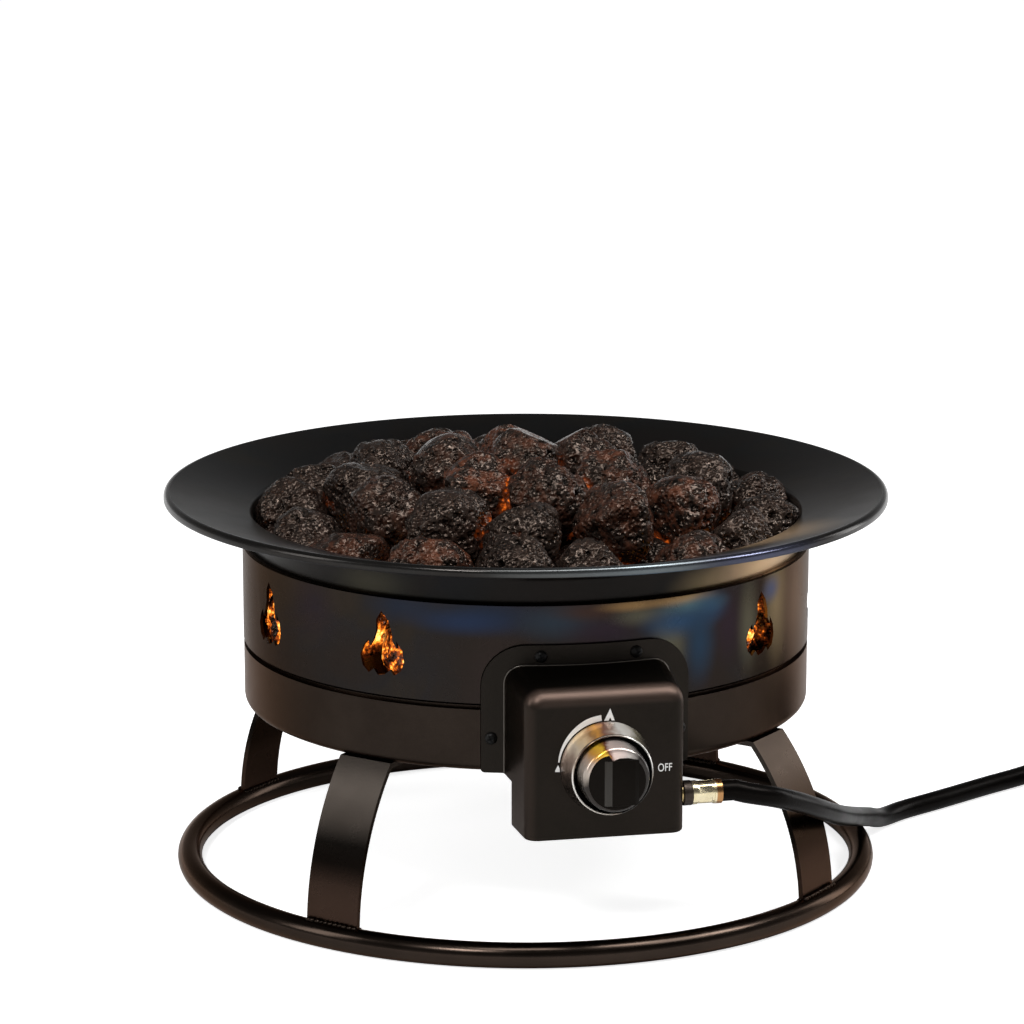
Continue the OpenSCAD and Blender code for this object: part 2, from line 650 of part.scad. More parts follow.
module valve_stem() {
    reach = valve_y - (knob_front + 8);
    color("#c8c4bc") translate([0, valve_y + 22, knob_z]) rotate([90, 0, 0]) difference() {
        cylinder(d = stem_d, h = 22 + reach);
        translate([stem_d / 2 - 1.5, -stem_d, 22 + reach - 13]) cube([stem_d, 2 * stem_d, 20]);
    }
}

module push_collar() {
    color("#b08d4a") translate([0, valve_y + 1 + collar_t, knob_z]) rotate([90, 0, 0]) difference() {
        cylinder(d = bush_d - 2 * run_gap, h = collar_t);
        translate([0, 0, -1]) cylinder(d = stem_d + 2 * run_gap, h = collar_t + 2);
    }
}

spring_wire = 0.9;
spring_turns = 3;
module stem_spring() {
    from = valve_y + 1 + collar_t + spring_wire / 2 + 0.05;
    to = valve_y + bush_depth - spring_wire / 2 - 0.05;
    n = spring_turns * 8;
    r = stem_d / 2 + spring_wire / 2 + 0.4;
    color("#a9a6a2") translate([0, 0, knob_z]) rotate([0, 0, 0]) coil_wire(from, to, r, n);
}
module coil_wire(from, to, r, n) {
    points = [for (i = [0 : n]) let (a = 360 * i / 8, y = from + (to - from) * i / n) each
        [for (k = [0 : 5]) let (b = 60 * k, d = r + spring_wire / 2 * cos(b))
            [d * cos(a), y + spring_wire / 2 * sin(b), d * sin(a)]]];
    walls = [for (i = [0 : n - 1], k = [0 : 5])
        let (a = i * 6 + k, b = i * 6 + (k + 1) % 6)
        each [[a, b, b + 6], [a, b + 6, a + 6]]];
    ends = [for (k = [1 : 4]) each [[0, k + 1, k], [n * 6, n * 6 + k, n * 6 + k + 1]]];
    polyhedron(points, concat(walls, ends));
}

module knob_bezel() {
    r = bezel_d / 2;
    color("#d8d4cc") translate([0, face_y, knob_z]) rotate([90, 0, 0]) rotate_extrude() polygon([
        [stem_d / 2 + 1, 0], [r, 0], [bezel_front_r, bezel_h], [bezel_front_r - 0.5, bezel_h + 0.4],
        [bezel_front_r - bezel_wall, bezel_h], [r - bezel_wall - 0.4, 2], [stem_d / 2 + 1, 2]]);
}

knob_r = knob_d / 2;
module knob_ring() {
    l = knob_back - knob_front;
    color("#dedad2") translate([0, knob_back, knob_z]) rotate([90, 0, 0]) difference() {
        rotate_extrude() polygon([[0, 0], [knob_r + knob_flare, 0], [knob_r + 0.6, l - 4],
            [knob_r - 0.4, l - 1.2], [knob_r - 2, l], [0, l]]);
        translate([0, 0, -0.01]) rotate_extrude() polygon([[0, 0], [knob_r + knob_flare - knob_wall, 0],
            [knob_r - knob_wall, l - 2], [0, l - 2]]);
        translate([0, 0, l - 5]) linear_extrude(height = 10) knob_opening(0);
    }
}

// Opening in the chrome cap: two brow-shaped tops that meet in a point left of the middle
module knob_opening(inset) {
    r = knob_r - 2.9;
    offset(delta = -inset) polygon(concat(
        [for (i = [0 : 9]) [-r + (r - 5) * (1 - cos(10 * i)), -1 + 16.2 * sin(10 * i)]],
        [[-3.6, 13.4], [-2.6, 11.2], [-1.4, 12.5], [1.5, 13.4], [6.5, 13.4], [11.2, 12.1]],
        [for (a = [36 : -9 : -171]) [r * cos(a), r * sin(a) - 0.7]]));
}

module knob_grip() {
    l = knob_back - knob_front;
    color("#1c1a19") translate([0, knob_back, knob_z]) rotate([90, 0, 0]) difference() {
        union() {
            rotate_extrude() polygon([[0, 0.2], [knob_r + knob_flare - knob_wall - 0.3, 0.2],
                [knob_r - knob_wall - 0.15, l - 9], [0, l - 9]]);
            linear_extrude(height = l - 0.8) knob_opening(0.3);
            intersection() {
                translate([0, 11.4, 0]) rotate([90, 0, 0]) linear_extrude(height = 28.4)
                    polygon([[-8, l - 3], [-8, l - 0.7], [-3, l + 1.5], [10.5, l + 1.5],
                        [13.5, l - 0.7], [13.5, l - 3]]);
                linear_extrude(height = l + 2) knob_opening(0.3);
            }
        }
        difference() {
            translate([0, 0, -1]) cylinder(d = stem_d + 0.1, h = 14.6);
            translate([stem_d / 2 - 1.4, -stem_d, -2]) cube([stem_d, 2 * stem_d, 30]);
        }
        translate([0, 0, -1]) cylinder(d = stem_d + 0.4, h = 2);
    }
}

// ---- Gas inlet and hose

module inlet_elbow() {
    top = knob_z - (knob_z - inlet_z - 9);
    color("#b8995a") difference() {
        union() {
            translate([0, inlet_y + 2, inlet_z]) sphere(d = 15, $fn = 48);
            translate([0, inlet_y + 2, inlet_z]) cylinder(d = 13, h = top - inlet_z);
            translate([0, inlet_y, inlet_z]) rotate([0, 90, 0]) cylinder(d = inlet_d, h = wall_x);
        }
        translate([0, inlet_y + 2, inlet_z - 2]) cylinder(d = 6, h = 30);
        translate([0, inlet_y, inlet_z]) rotate([0, 90, 0]) cylinder(d = 6, h = wall_x + 1);
    }
}

module inlet_nut() {
    color("#8d8a86") translate([wall_x - box_t - 5.2, inlet_y, inlet_z]) rotate([0, 90, 0]) difference() {
        rotate([0, 0, 30]) hex(14, 3.5);
        translate([0, 0, -1]) cylinder(d = inlet_d + 0.1, h = 8);
    }
}

module hose_collar() {
    color("#3a3230") translate([wall_x, inlet_y, inlet_z]) rotate([0, 90, 0]) difference() {
        cylinder(d = 15.5, h = collar_w);
        translate([0, 0, -1]) cylinder(d = 6, h = collar_w + 2);
    }
}

// Crimped sleeve: a plain band, six pressed flats, and a rolled band at the hose
module ferrule_form() {
    difference() {
        union() {
            cylinder(r = hose_r + 0.9, h = 3);
            translate([0, 0, 2.9]) cylinder(r = hose_r + 0.5, h = ferrule_l - 7.8);
            translate([0, 0, ferrule_l - 5]) cylinder(r = hose_r + 1.1, h = 5);
        }
        for (i = [0 : 5]) rotate([0, 0, i * 60])
            translate([hose_r + 0.15, -2, 4]) cube([4, 4, ferrule_l - 10.5]);
        translate([0, 0, -1]) cylinder(d = 6, h = ferrule_l - 2);
    }
}

module hose_ferrule() {
    color("#d2b872") translate([wall_x + collar_w, inlet_y, inlet_z]) rotate([0, 90, 0]) ferrule_form();
}

// Radius, height and place of the coil at an angle t of its winding
function coil_bend(t) = let (u = (t - coil_mid) / 90) max(-1, min(1, u));
function coil_at(t) =
    let (r = coil_in + coil_pitch * abs(t - coil_mid) / 360,
         z = coil_z + coil_pitch * (0.5 + 0.5 * sin(90 * coil_bend(t))), a = coil_start - t)
    [coil_c[0] + r * cos(a), coil_c[1] + r * sin(a), z];
coil_first = coil_at(0);
coil_last = coil_at(coil_turns * 360);
coil_in_dir = unit(coil_at(4) - coil_first);
coil_out_dir = unit(coil_last - coil_at(coil_turns * 360 - 4));
coil_entry = coil_first - lead * coil_in_dir;
coil_exit = coil_last + far_lead * coil_out_dir;

module hose() {
    path = concat([hose_start, hose_start + [9, 0, 0]],
        spline(concat([hose_start + [9, 0, 0]], hose_points,
            [coil_entry - hose_d * coil_in_dir]), 2), [coil_entry]);
    color("#1e1c1b") tube_along(path, hose_r, 8);
}

coil_path = concat([coil_entry],
    [for (i = [0 : floor(coil_turns * loop_steps)]) coil_at(i * 360 / loop_steps)],
    [coil_last, coil_exit]);
module hose_coil() { color("#1e1c1b") tube_along(coil_path, hose_r, 6); }

coil_spaces = [for (i = [0 : 6 : coil_turns * 360 - 300], j = [i + 300 : 6 : coil_turns * 360])
    norm(coil_at(i) - coil_at(j))];
echo(coil_least_gap = min(coil_spaces) - hose_d);

module coil_tie() {
    r_in = coil_in - hose_r - 0.7;
    r_out = coil_r + hose_r + 0.7;
    z_top = coil_z + coil_pitch + hose_r + 0.4;
    color("#242222") translate([coil_c[0], coil_c[1], 0]) rotate([0, 0, coil_start + 135])
        translate([0, 6, 0]) rotate([90, 0, 0]) linear_extrude(height = 12) difference() {
            polygon(rounded([[r_in - tie_t, 0, 3], [r_out + tie_t, 0, 3],
                [r_out + tie_t, z_top + tie_t, 5], [r_in - tie_t, z_top + tie_t, 5]]));
            polygon(rounded([[r_in, tie_t, 2], [r_out, tie_t, 2], [r_out, z_top, 4], [r_in, z_top, 4]]));
        }
}

// Places what follows along the hose's far end, +Z running away from the hose
module at_far_end(d) {
    p = coil_exit + d * coil_out_dir;
    translate(p) rotate([90, 0, atan2(coil_out_dir[1], coil_out_dir[0]) + 90]) children();
}

module regulator_ferrule() { color("#c9b06c") at_far_end(0) mirror([0, 0, 0]) rotate([0, 180, 0])
    translate([0, 0, -ferrule_l]) ferrule_form(); }

reg_d = ferrule_l + reg_lead;
module regulator_body() {
    h = reg_port_z + 8.5;
    color("#6d6f70") difference() {
        union() {
            at_far_end(reg_d) rotate([-90, 0, 0]) translate([0, 0, -reg_port_z]) rotate_extrude()
                polygon([[0, 0], [22, 0], [24, 4], [reg_r, 5], [reg_r, 10], [20, h - 6],
                    [18, h], [0, h]]);
            at_far_end(ferrule_l) cylinder(d = 15, h = reg_lead);
            at_far_end(reg_d) cylinder(d = 17, h = 34);
        }
        at_far_end(ferrule_l - 1) cylinder(d = 6, h = 62);
    }
}
module regulator_cap() {
    color("#2c2c2c") at_far_end(reg_d) rotate([-90, 0, 0]) translate([0, 0, 8.5]) difference() {
        cylinder(r1 = 17, r2 = 15, h = 7);
        translate([0, 0, 5]) cylinder(d = 3, h = 5, $fn = 24);
    }
}
module connector_nipple() {
    color("#c9b06c") at_far_end(reg_d + 34) difference() {
        union() {
            cylinder(d = 12, h = 34);
            translate([0, 0, 0]) cylinder(d = 19, h = 4);
            translate([0, 0, 30]) cylinder(d1 = 12, d2 = 8, h = 8);
        }
        translate([0, 0, -1]) cylinder(d = 5, h = 60);
    }
}
module coupling_nut() {
    color("#232323") at_far_end(reg_d + 34 + 4.3) difference() {
        union() {
            cylinder(r1 = nut_r - 5, r2 = nut_r, h = 5);
            translate([0, 0, 4.9]) cylinder(r = nut_r, h = 19);
        }
        translate([0, 0, -1]) cylinder(d = 12 + 2 * run_gap, h = 30);
        translate([0, 0, 6]) cylinder(r = nut_thread_r, h = 30);
        for (i = [0 : 11]) rotate([0, 0, i * 30]) translate([nut_r + 1.2, 0, 4])
            cylinder(r = 2.4, h = 22, $fn = 24);
    }
}

rim_ring();
fire_bowl();
base_pan();
bowl_screws();
burner_ring();
burner_brackets();
burner_screws();
riser_nut();
venturi_tube();
air_shutter();
lava_rocks();
leg_front_left();
leg_front_right();
leg_rear_right();
leg_rear_left();
base_ring();
leg_screws();
control_box();
mounting_plate();
plate_screws();
valve_body();
valve_screws();
orifice_jet();
valve_stem();
push_collar();
stem_spring();
knob_bezel();
knob_ring();
knob_grip();
inlet_elbow();
inlet_nut();
hose_collar();
hose_ferrule();
hose();
hose_coil();
coil_tie();
regulator_ferrule();
regulator_body();
regulator_cap();
connector_nipple();
coupling_nut();
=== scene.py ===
# Looks of a portable gas fire bowl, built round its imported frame: a floor ring and four straps
# carry a pan and a bowl of lava rock, with a control box in front and a rubber gas hose.
import math
import random

import bmesh
import bpy
from mathutils import Matrix, Vector, noise
from mathutils.bvhtree import BVHTree


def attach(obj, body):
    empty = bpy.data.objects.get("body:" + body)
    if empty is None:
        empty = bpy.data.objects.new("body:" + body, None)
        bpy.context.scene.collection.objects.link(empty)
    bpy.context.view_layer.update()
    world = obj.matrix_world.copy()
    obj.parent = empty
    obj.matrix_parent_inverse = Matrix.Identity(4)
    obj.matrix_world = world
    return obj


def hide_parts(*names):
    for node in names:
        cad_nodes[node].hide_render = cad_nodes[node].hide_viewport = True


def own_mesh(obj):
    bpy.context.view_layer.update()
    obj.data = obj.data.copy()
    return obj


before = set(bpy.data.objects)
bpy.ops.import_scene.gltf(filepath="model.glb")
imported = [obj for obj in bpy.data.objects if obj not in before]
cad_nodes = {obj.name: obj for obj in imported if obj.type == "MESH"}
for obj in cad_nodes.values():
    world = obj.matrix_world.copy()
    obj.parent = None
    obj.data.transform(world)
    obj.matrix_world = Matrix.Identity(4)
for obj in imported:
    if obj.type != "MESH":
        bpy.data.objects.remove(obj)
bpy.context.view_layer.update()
MM = 0.001

# ---- Camera, floor and studio light
# The camera stands 2.6 m off, a little to the left of the control box and above the rim. The
# floor and the walls of the studio are white paper, and soft boxes light the bowl.
PICTURE_SIDE, FRAME_SHIFT = 1024, 5.64
CAMERA_DROP, CAMERA_TURN = 12.909, -11.905


def placed(name, data):
    """A new object at the origin of the scene."""
    made = bpy.data.objects.new(name, data)
    bpy.context.scene.collection.objects.link(made)
    return made


camera_data = bpy.data.cameras.new("camera")
camera_data.sensor_width = 36
camera_data.lens = 145.7
camera_data.shift_y = FRAME_SHIFT / PICTURE_SIDE
camera = placed("camera", camera_data)
camera.location = (-0.5519, -2.5746, 0.8353)
camera.rotation_euler = (math.radians(90 - CAMERA_DROP), 0, math.radians(CAMERA_TURN))
bpy.context.scene.camera = camera
bpy.context.scene.view_settings.view_transform = "Standard"


def feed(tree, node, feeds):
    """Gives a node's sockets their values, or links them to other sockets."""
    for name, value in feeds.items():
        if isinstance(value, bpy.types.NodeSocket):
            tree.links.new(value, node.inputs[name])
        else:
            node.inputs[name].default_value = value


def lay(tree, kind, feeds=None, **settings):
    """One shader node with its settings and what feeds its sockets."""
    made = tree.nodes.new("ShaderNode" + kind)
    for name, value in settings.items():
        setattr(made, name, value)
    feed(tree, made, feeds or {})
    return made


def maths(tree, operation, a, b, kind="Math"):
    """The result of one sum with two values or vectors."""
    return lay(tree, kind, {0: a, 1: b}, operation=operation).outputs[0]


def between(tree, factor, a, b):
    """A value from a to b by a factor."""
    return lay(tree, "Mix", {"Factor": factor, "A": a, "B": b}).outputs[0]


def ranged(tree, value, start, end, low=0.0, high=1.0, smooth=False):
    """Low to high as a value goes from start to end."""
    return lay(tree, "MapRange", {"Value": value, "From Min": start, "From Max": end,
                                  "To Min": low, "To Max": high},
               interpolation_type="SMOOTHSTEP" if smooth else "LINEAR").outputs[0]


def shaded(tree, factor, stops):
    """Colours of a ramp through (position, colour) stops."""
    made = lay(tree, "ValToRGB", {0: factor})
    marks = made.color_ramp.elements
    while len(marks) < len(stops):
        marks.new(0.5)
    for mark, (position, shade) in zip(marks, stops):
        mark.position = position
        mark.color = (*shade, 1)
    return made.outputs[0]


def light_rays(tree):
    """Masks of the rays that show the studio, straight or through glass, and in a gloss."""
    path = lay(tree, "LightPath").outputs
    return (maths(tree, "MAXIMUM", path["Is Camera Ray"], path["Is Transmission Ray"]),
            path["Is Glossy Ray"])


# The walls give even light. A gloss shows them paler near the floor, with a bright panel above.
WALL_LIGHT, PANEL_LIGHT, PANEL_WAY = 0.21, 7.0, (0.476, -0.221, 0.849)
world = bpy.data.worlds.new("studio")
bpy.context.scene.world = world
world.use_nodes = True
studio = world.node_tree
studio.nodes.clear()
seen, glossy = light_rays(studio)
way = lay(studio, "TexCoord").outputs["Generated"]
rise = lay(studio, "SeparateXYZ", {0: way}).outputs["Z"]
walls = shaded(studio, rise, [
    (height, (white,) * 3) for height, white in ((0, 1.0), (0.03, 0.9), (0.12, 0.28), (0.5, 0.08))])
facing = lay(studio, "VectorMath", {0: way, 1: PANEL_WAY}, operation="DOT_PRODUCT")
panel = ranged(studio, facing.outputs["Value"], 0.950, 0.985, 0, PANEL_LIGHT, smooth=True)
level = between(studio, glossy, WALL_LIGHT, maths(studio, "ADD", walls, panel))
level = between(studio, seen, level, 1.0)
paper = lay(studio, "Background", {"Color": (1, 1, 1, 1), "Strength": level})
lay(studio, "OutputWorld", {0: paper.outputs[0]})

FLOOR_GLOW, FLOOR_GLOW_IN_GLOSS = 0.80, 0.02
floor_mesh = bpy.data.meshes.new("floor")
shape = bmesh.new()
bmesh.ops.create_grid(shape, x_segments=2, y_segments=2, size=12)
shape.to_mesh(floor_mesh)
shape.free()
floor = placed("floor", floor_mesh)
floor_paper = bpy.data.materials.new("floor_paper")
floor_paper.use_nodes = True
tree = floor_paper.node_tree
tree.nodes.clear()
seen, glossy = light_rays(tree)
white = lay(tree, "BsdfDiffuse", {"Color": (0.93, 0.93, 0.93, 1)}).outputs[0]
far = lay(tree, "VectorMath", {0: lay(tree, "TexCoord").outputs["Object"]}, operation="LENGTH")
near_glow = between(tree, glossy, FLOOR_GLOW, FLOOR_GLOW_IN_GLOSS)
glow = ranged(tree, far.outputs["Value"], 0.5, 3.0, near_glow, FLOOR_GLOW)
glow = lay(tree, "Emission", {"Color": (1, 1, 1, 1), "Strength": glow}).outputs[0]
bright = lay(tree, "AddShader", {0: white, 1: glow}).outputs[0]
either = maths(tree, "MAXIMUM", seen, glossy)
shown = lay(tree, "MixShader", {0: either, 1: white, 2: bright})
lay(tree, "OutputMaterial", {0: shown.outputs[0]})
floor_mesh.materials.append(floor_paper)

for name, place, look_at, size, power in (
        ("key_box", (-1.1, -1.5, 2.0), (0, 0, 0.15), (0.5, 0.5), 23),
        ("fill_box", (1.3, -0.45, 1.4), (0, -0.1, 0.1), (0.3, 0.5), 9),
        ("top_box", (0.1, -0.62, 1.6), (0, -0.1, 0.2), (1.2, 0.4), 12),
        ("left_strip", (-1.6, -0.2, 0.95), (0, 0, 0.1), (0.5, 0.9), 7),
        ("right_strip", (1.6, 0.35, 0.5), (0, 0, 0.1), (0.4, 0.9), 5)):
    soft_box = bpy.data.lights.new(name, "AREA")
    soft_box.shape = "RECTANGLE"
    soft_box.size, soft_box.size_y = size
    soft_box.energy = power
    lamp = placed(name, soft_box)
    lamp.location = place
    lamp.rotation_euler = (Vector(look_at) - Vector(place)).to_track_quat("-Z", "Y").to_euler()

# ---- Gas hose
# A 13 mm rubber gas hose, 3 m long. It leaves its crimped ferrule on the box's right side, sags
# over the floor ring and runs out to a tied coil on the same surface, which stores the rest.
HOSE_R = 6.5 * MM
HOSE_START = Vector((75, -219, 106)) * MM
OPEN_RUN = [(92, -218.5, 103.5), (111, -213, 98), (132, -196, 88), (153, -172, 75),
            (176, -135, 59), (211, -54, 31.5), (232, -16, 18.6), (249, 11, 9), (271, 31, 7.1),
            (302, 49, 7), (344, 74, 7), (378, 93, 7.2)]
COIL_MIDDLE = Vector((484, 50, 0))
COIL_START, COIL_TURNS, COIL_PITCH, COIL_Z, COIL_OUTER = 115.4, 5.33, 13.6, 7.9, 89
STRAIGHT_OUT, RUN_IN, COIL_LEAD_IN, COIL_LEAD_OUT = 9, 13, 20, 44


def coil_point(turned):
    """Middle of the hose after so many degrees of winding, in millimetres."""
    half = COIL_TURNS * 180
    rise = max(-1, min(1, (turned - half) / 90))
    radius = COIL_OUTER - COIL_PITCH * COIL_TURNS / 2 + COIL_PITCH * abs(turned - half) / 360
    angle = math.radians(COIL_START - turned)
    height = COIL_Z + COIL_PITCH * (0.5 + 0.5 * math.sin(math.radians(90 * rise)))
    return COIL_MIDDLE + Vector((radius * math.cos(angle), radius * math.sin(angle), height))


def through(points, steps):
    """Smooth curve through points, as in the part's source."""
    made = []
    last = len(points) - 1
    for i in range(last):
        a, b = points[max(0, i - 1)], points[i]
        c, d = points[i + 1], points[min(last, i + 2)]
        for k in range(steps):
            t = k / steps
            made.append(0.5 * (2 * b + (c - a) * t + (2 * a - 5 * b + 4 * c - d) * t * t
                               + (3 * b - a - 3 * c + d) * t * t * t))
    return made + [points[last]]


full_turn = COIL_TURNS * 360
coil_first, coil_last = coil_point(0), coil_point(full_turn)
into_coil = (coil_point(4) - coil_first).normalized()
out_of_coil = (coil_last - coil_point(full_turn - 4)).normalized()
coil_entry = coil_first - COIL_LEAD_IN * into_coil
bend_in = HOSE_START / MM + Vector((STRAIGHT_OUT, 0, 0))
open_points = through([bend_in] + [Vector(p) for p in OPEN_RUN]
                      + [coil_entry - RUN_IN * into_coil], 5)
wound_points = [coil_point(turn * 10) for turn in range(int(full_turn // 10) + 1)]
hose_route = [p * MM for p in (
    [HOSE_START / MM] + open_points + [coil_entry] + wound_points
    + [coil_last + COIL_LEAD_OUT * share * out_of_coil for share in (0, 0.5, 1)])]


def node_group(name, inputs, outputs):
    """An empty shader group with its named sockets."""
    group = bpy.data.node_groups.new(name, "ShaderNodeTree")
    for label, kind, value in inputs:
        socket = group.interface.new_socket(label, in_out="INPUT",
                                            socket_type="NodeSocket" + kind)
        if value is not None:
            socket.default_value = value
    for label, kind in outputs:
        group.interface.new_socket(label, in_out="OUTPUT", socket_type="NodeSocket" + kind)
    return group, group.nodes.new("NodeGroupInput").outputs, group.nodes.new("NodeGroupOutput")


def cloudy(tree, where, scale, detail=2.0, roughness=0.5, distortion=0.0):
    """A noise between 0 and 1."""
    return lay(tree, "TexNoise", {"Vector": where, "Scale": scale, "Detail": detail,
                                  "Roughness": roughness, "Distortion": distortion}).outputs[0]


def blend_colour(tree, factor, a, b):
    """Colour b over colour a by a factor."""
    a, b = ((*shade, 1) if isinstance(shade, tuple) else shade for shade in (a, b))
    return lay(tree, "Mix", {0: factor, 6: a, 7: b}, data_type="RGBA").outputs[2]


# Grain and rubbing of a coat: a fine height, and a mask of the paler, rubbed places
coat_grain, start, end = node_group(
    "coat_grain", [("Vector", "Vector", None), ("Grain", "Float", 900.0), ("Rub", "Float", 14.0)],
    [("Height", "Float"), ("Rubbed", "Float")])
broad = cloudy(coat_grain, start[0], start[2], 6.0, 0.62)
feed(coat_grain, end, {0: cloudy(coat_grain, start[0], start[1]),
                       1: ranged(coat_grain, broad, 0.42, 0.7)})


def surface(name):
    """A new material: its node tree, its Principled shader and its Object coordinates."""
    made = bpy.data.materials.new(name)
    made.use_nodes = True
    tree = made.node_tree
    tree.nodes.clear()
    shader = lay(tree, "BsdfPrincipled")
    lay(tree, "OutputMaterial", {0: shader.outputs[0]})
    return made, tree, shader, lay(tree, "TexCoord").outputs["Object"]


def roughen(tree, shader, height, strength, distance):
    bump = lay(tree, "Bump", {"Height": height, "Strength": strength, "Distance": distance})
    feed(tree, shader, {"Normal": bump.outputs[0]})


def coated(name, dark, pale, rough, shine=0.3, grain=900.0, peel=0.12, metal=0.0,
           edge_tint=(1, 1, 1), rub=14.0, wear=0.08):
    """A sprayed or moulded coat that goes from its dark to its pale colour where it is rubbed."""
    made, tree, shader, where = surface(name)
    coat = lay(tree, "Group", {0: where, 1: grain, 2: rub}, node_tree=coat_grain)
    height, lightened = coat.outputs
    feed(tree, shader, {"Base Color": blend_colour(tree, lightened, dark, pale),
                        "Roughness": ranged(tree, lightened, 0, 1, rough, rough + wear),
                        "Specular IOR Level": shine, "Specular Tint": (*edge_tint, 1),
                        "Metallic": metal})
    roughen(tree, shader, height, peel, 0.0004)
    return made


hose_rubber = coated("hose_rubber", (0.0022, 0.0019, 0.0018), (0.005, 0.0042, 0.0038), 0.27, 0.04,
                     700, 0.25, edge_tint=(1.0, 0.86, 0.76))


def drawn_out(name, points, radius, roundness, finish):
    """A round wire or hose along points."""
    data = bpy.data.curves.new(name, "CURVE")
    data.dimensions = "3D"
    data.bevel_depth = radius
    data.bevel_resolution = roundness
    data.use_fill_caps = True
    line = data.splines.new("POLY")
    line.points.add(len(points) - 1)
    for spot, point in zip(line.points, points):
        spot.co = (*point, 1)
    line.use_smooth = True
    data.materials.append(finish)
    return placed(name, data)


gas_hose = drawn_out("gas_hose", hose_route, HOSE_R, 10, hose_rubber)
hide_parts("hose", "hose_coil")
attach(gas_hose, "frame")

# ---- Hose's far end
# A strap ties the coil, and a crimped ferrule leads into the die-cast regulator, whose brass
# nipple carries a moulded hand nut for the gas cylinder.
CREASE = 38


def shaped(name, shape, finishes, body, node, crease):
    """Turns a bmesh into a smooth-shaded piece with sharp creases that rides on a body."""
    mesh = bpy.data.meshes.new(name)
    shape.to_mesh(mesh)
    shape.free()
    mesh.polygons.foreach_set("use_smooth", [True] * len(mesh.polygons))
    mesh.set_sharp_from_angle(angle=math.radians(crease))
    for finish in finishes:
        mesh.materials.append(finish)
    made = placed(name, mesh)
    if node:
        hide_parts(node)
    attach(made, body)
    return made


def crisp(node, name, finish, edge, body="frame", segments=2):
    """A welded copy of a CAD node with smooth rounds and edges broken by so many millimetres."""
    shape = bmesh.new()
    shape.from_mesh(cad_nodes[node].data)
    bmesh.ops.remove_doubles(shape, verts=shape.verts, dist=2e-6)
    bmesh.ops.dissolve_limit(shape, angle_limit=math.radians(0.6), verts=shape.verts,
                             edges=shape.edges, use_dissolve_boundaries=False)
    soft = shaped(name, shape, [finish], body, node, CREASE).modifiers.new(
        "broken_edges", "BEVEL")
    soft.limit_method = "ANGLE"
    soft.angle_limit = math.radians(CREASE)
    soft.width = edge * MM
    soft.segments = segments
    soft.harden_normals = True


def bare_metal(name, dark, pale, rough, scale, bump=0.05):
    """Bare metal, clouded between two colours."""
    made, tree, shader, where = surface(name)
    cloud = cloudy(tree, where, scale, 6.0, 0.6)
    spread = ranged(tree, cloud, 0.35, 0.68)
    feed(tree, shader, {"Base Color": blend_colour(tree, spread, dark, pale),
                        "Roughness": ranged(tree, spread, 0, 1, rough + 0.1, rough),
                        "Metallic": 1})
    roughen(tree, shader, cloud, bump, 0.0003)
    return made


strap_plastic = coated("strap_plastic", (0.014,) * 3, (0.024,) * 3, 0.55, 0.3, 800, 0.4)
regulator_zinc = bare_metal("regulator_zinc", (0.22, 0.225, 0.23), (0.3, 0.31, 0.32), 0.42, 250,
                            0.3)
cap_plastic = coated("cap_plastic", (0.012,) * 3, (0.02,) * 3, 0.5, 0.3, 600, 0.3)
turned_brass = bare_metal("turned_brass", (0.55, 0.4, 0.17), (0.75, 0.58, 0.3), 0.2, 150)
crimped_brass = bare_metal("crimped_brass", (0.62, 0.5, 0.27), (0.86, 0.76, 0.52), 0.2, 90)
nut_plastic = coated("nut_plastic", (0.012,) * 3, (0.02,) * 3, 0.45, 0.3, 500, 0.3)

crisp("coil_tie", "coil_strap", strap_plastic, 0.3)
crisp("regulator_ferrule", "far_ferrule", crimped_brass, 0.25)
crisp("regulator_body", "regulator_casting", regulator_zinc, 0.8, segments=3)
crisp("regulator_cap", "regulator_cover", cap_plastic, 0.6, segments=3)
crisp("connector_nipple", "cylinder_nipple", turned_brass, 0.2)
crisp("coupling_nut", "hand_nut", nut_plastic, 0.6, "coupling", 3)

# ---- Floor ring
# A 16 mm steel tube rolled to a circle and sprayed bronze-black. The four straps stand on it,
# each welded along both sides of its foot.
RING_R, TUBE_R = 222, 8
WELD_ROWS, BEADS_A_SIDE, BEAD_STEP = ((217.2, 14.6), (222.6, 16.2)), 11, 3.5
BRONZE = (0.74, 0.62, 0.56)
BRONZE_DARK, BRONZE_PALE = (0.0215, 0.0160, 0.0128), (0.0300, 0.0225, 0.0180)
frame_paint = coated("frame_paint", BRONZE_DARK, BRONZE_PALE, 0.29, metal=1, edge_tint=BRONZE)
ring_paint = coated("ring_paint", (0.0330, 0.0240, 0.0190), (0.0430, 0.0310, 0.0245), 0.19,
                    peel=0.05, metal=1, edge_tint=BRONZE)


def piece(name, shape, finishes, body="frame", node=None, crease=CREASE):
    """A piece made here, with its faces turned outwards."""
    bmesh.ops.recalc_face_normals(shape, faces=shape.faces)
    return shaped(name, shape, finishes, body, node, crease)


def turned(shape, profile, steps, centre=(0, 0, 0), axis=(0, 0, 1), closed=True):
    """Spins a profile of (radius, height) millimetres round an axis."""
    across, axis = Vector((1, 0, 0)), Vector(axis)
    verts = [shape.verts.new(Vector(centre) + across * (r * MM) + axis * (h * MM))
             for r, h in profile]
    edges = [shape.edges.new((a, b)) for a, b in zip(verts, verts[1:])]
    if closed:
        edges.append(shape.edges.new((verts[-1], verts[0])))
    bmesh.ops.spin(shape, geom=verts + edges, cent=centre, axis=axis, dvec=(0, 0, 0),
                   angle=math.tau, steps=steps, use_merge=True, use_duplicate=False)
    bmesh.ops.remove_doubles(shape, verts=shape.verts, dist=1e-6)


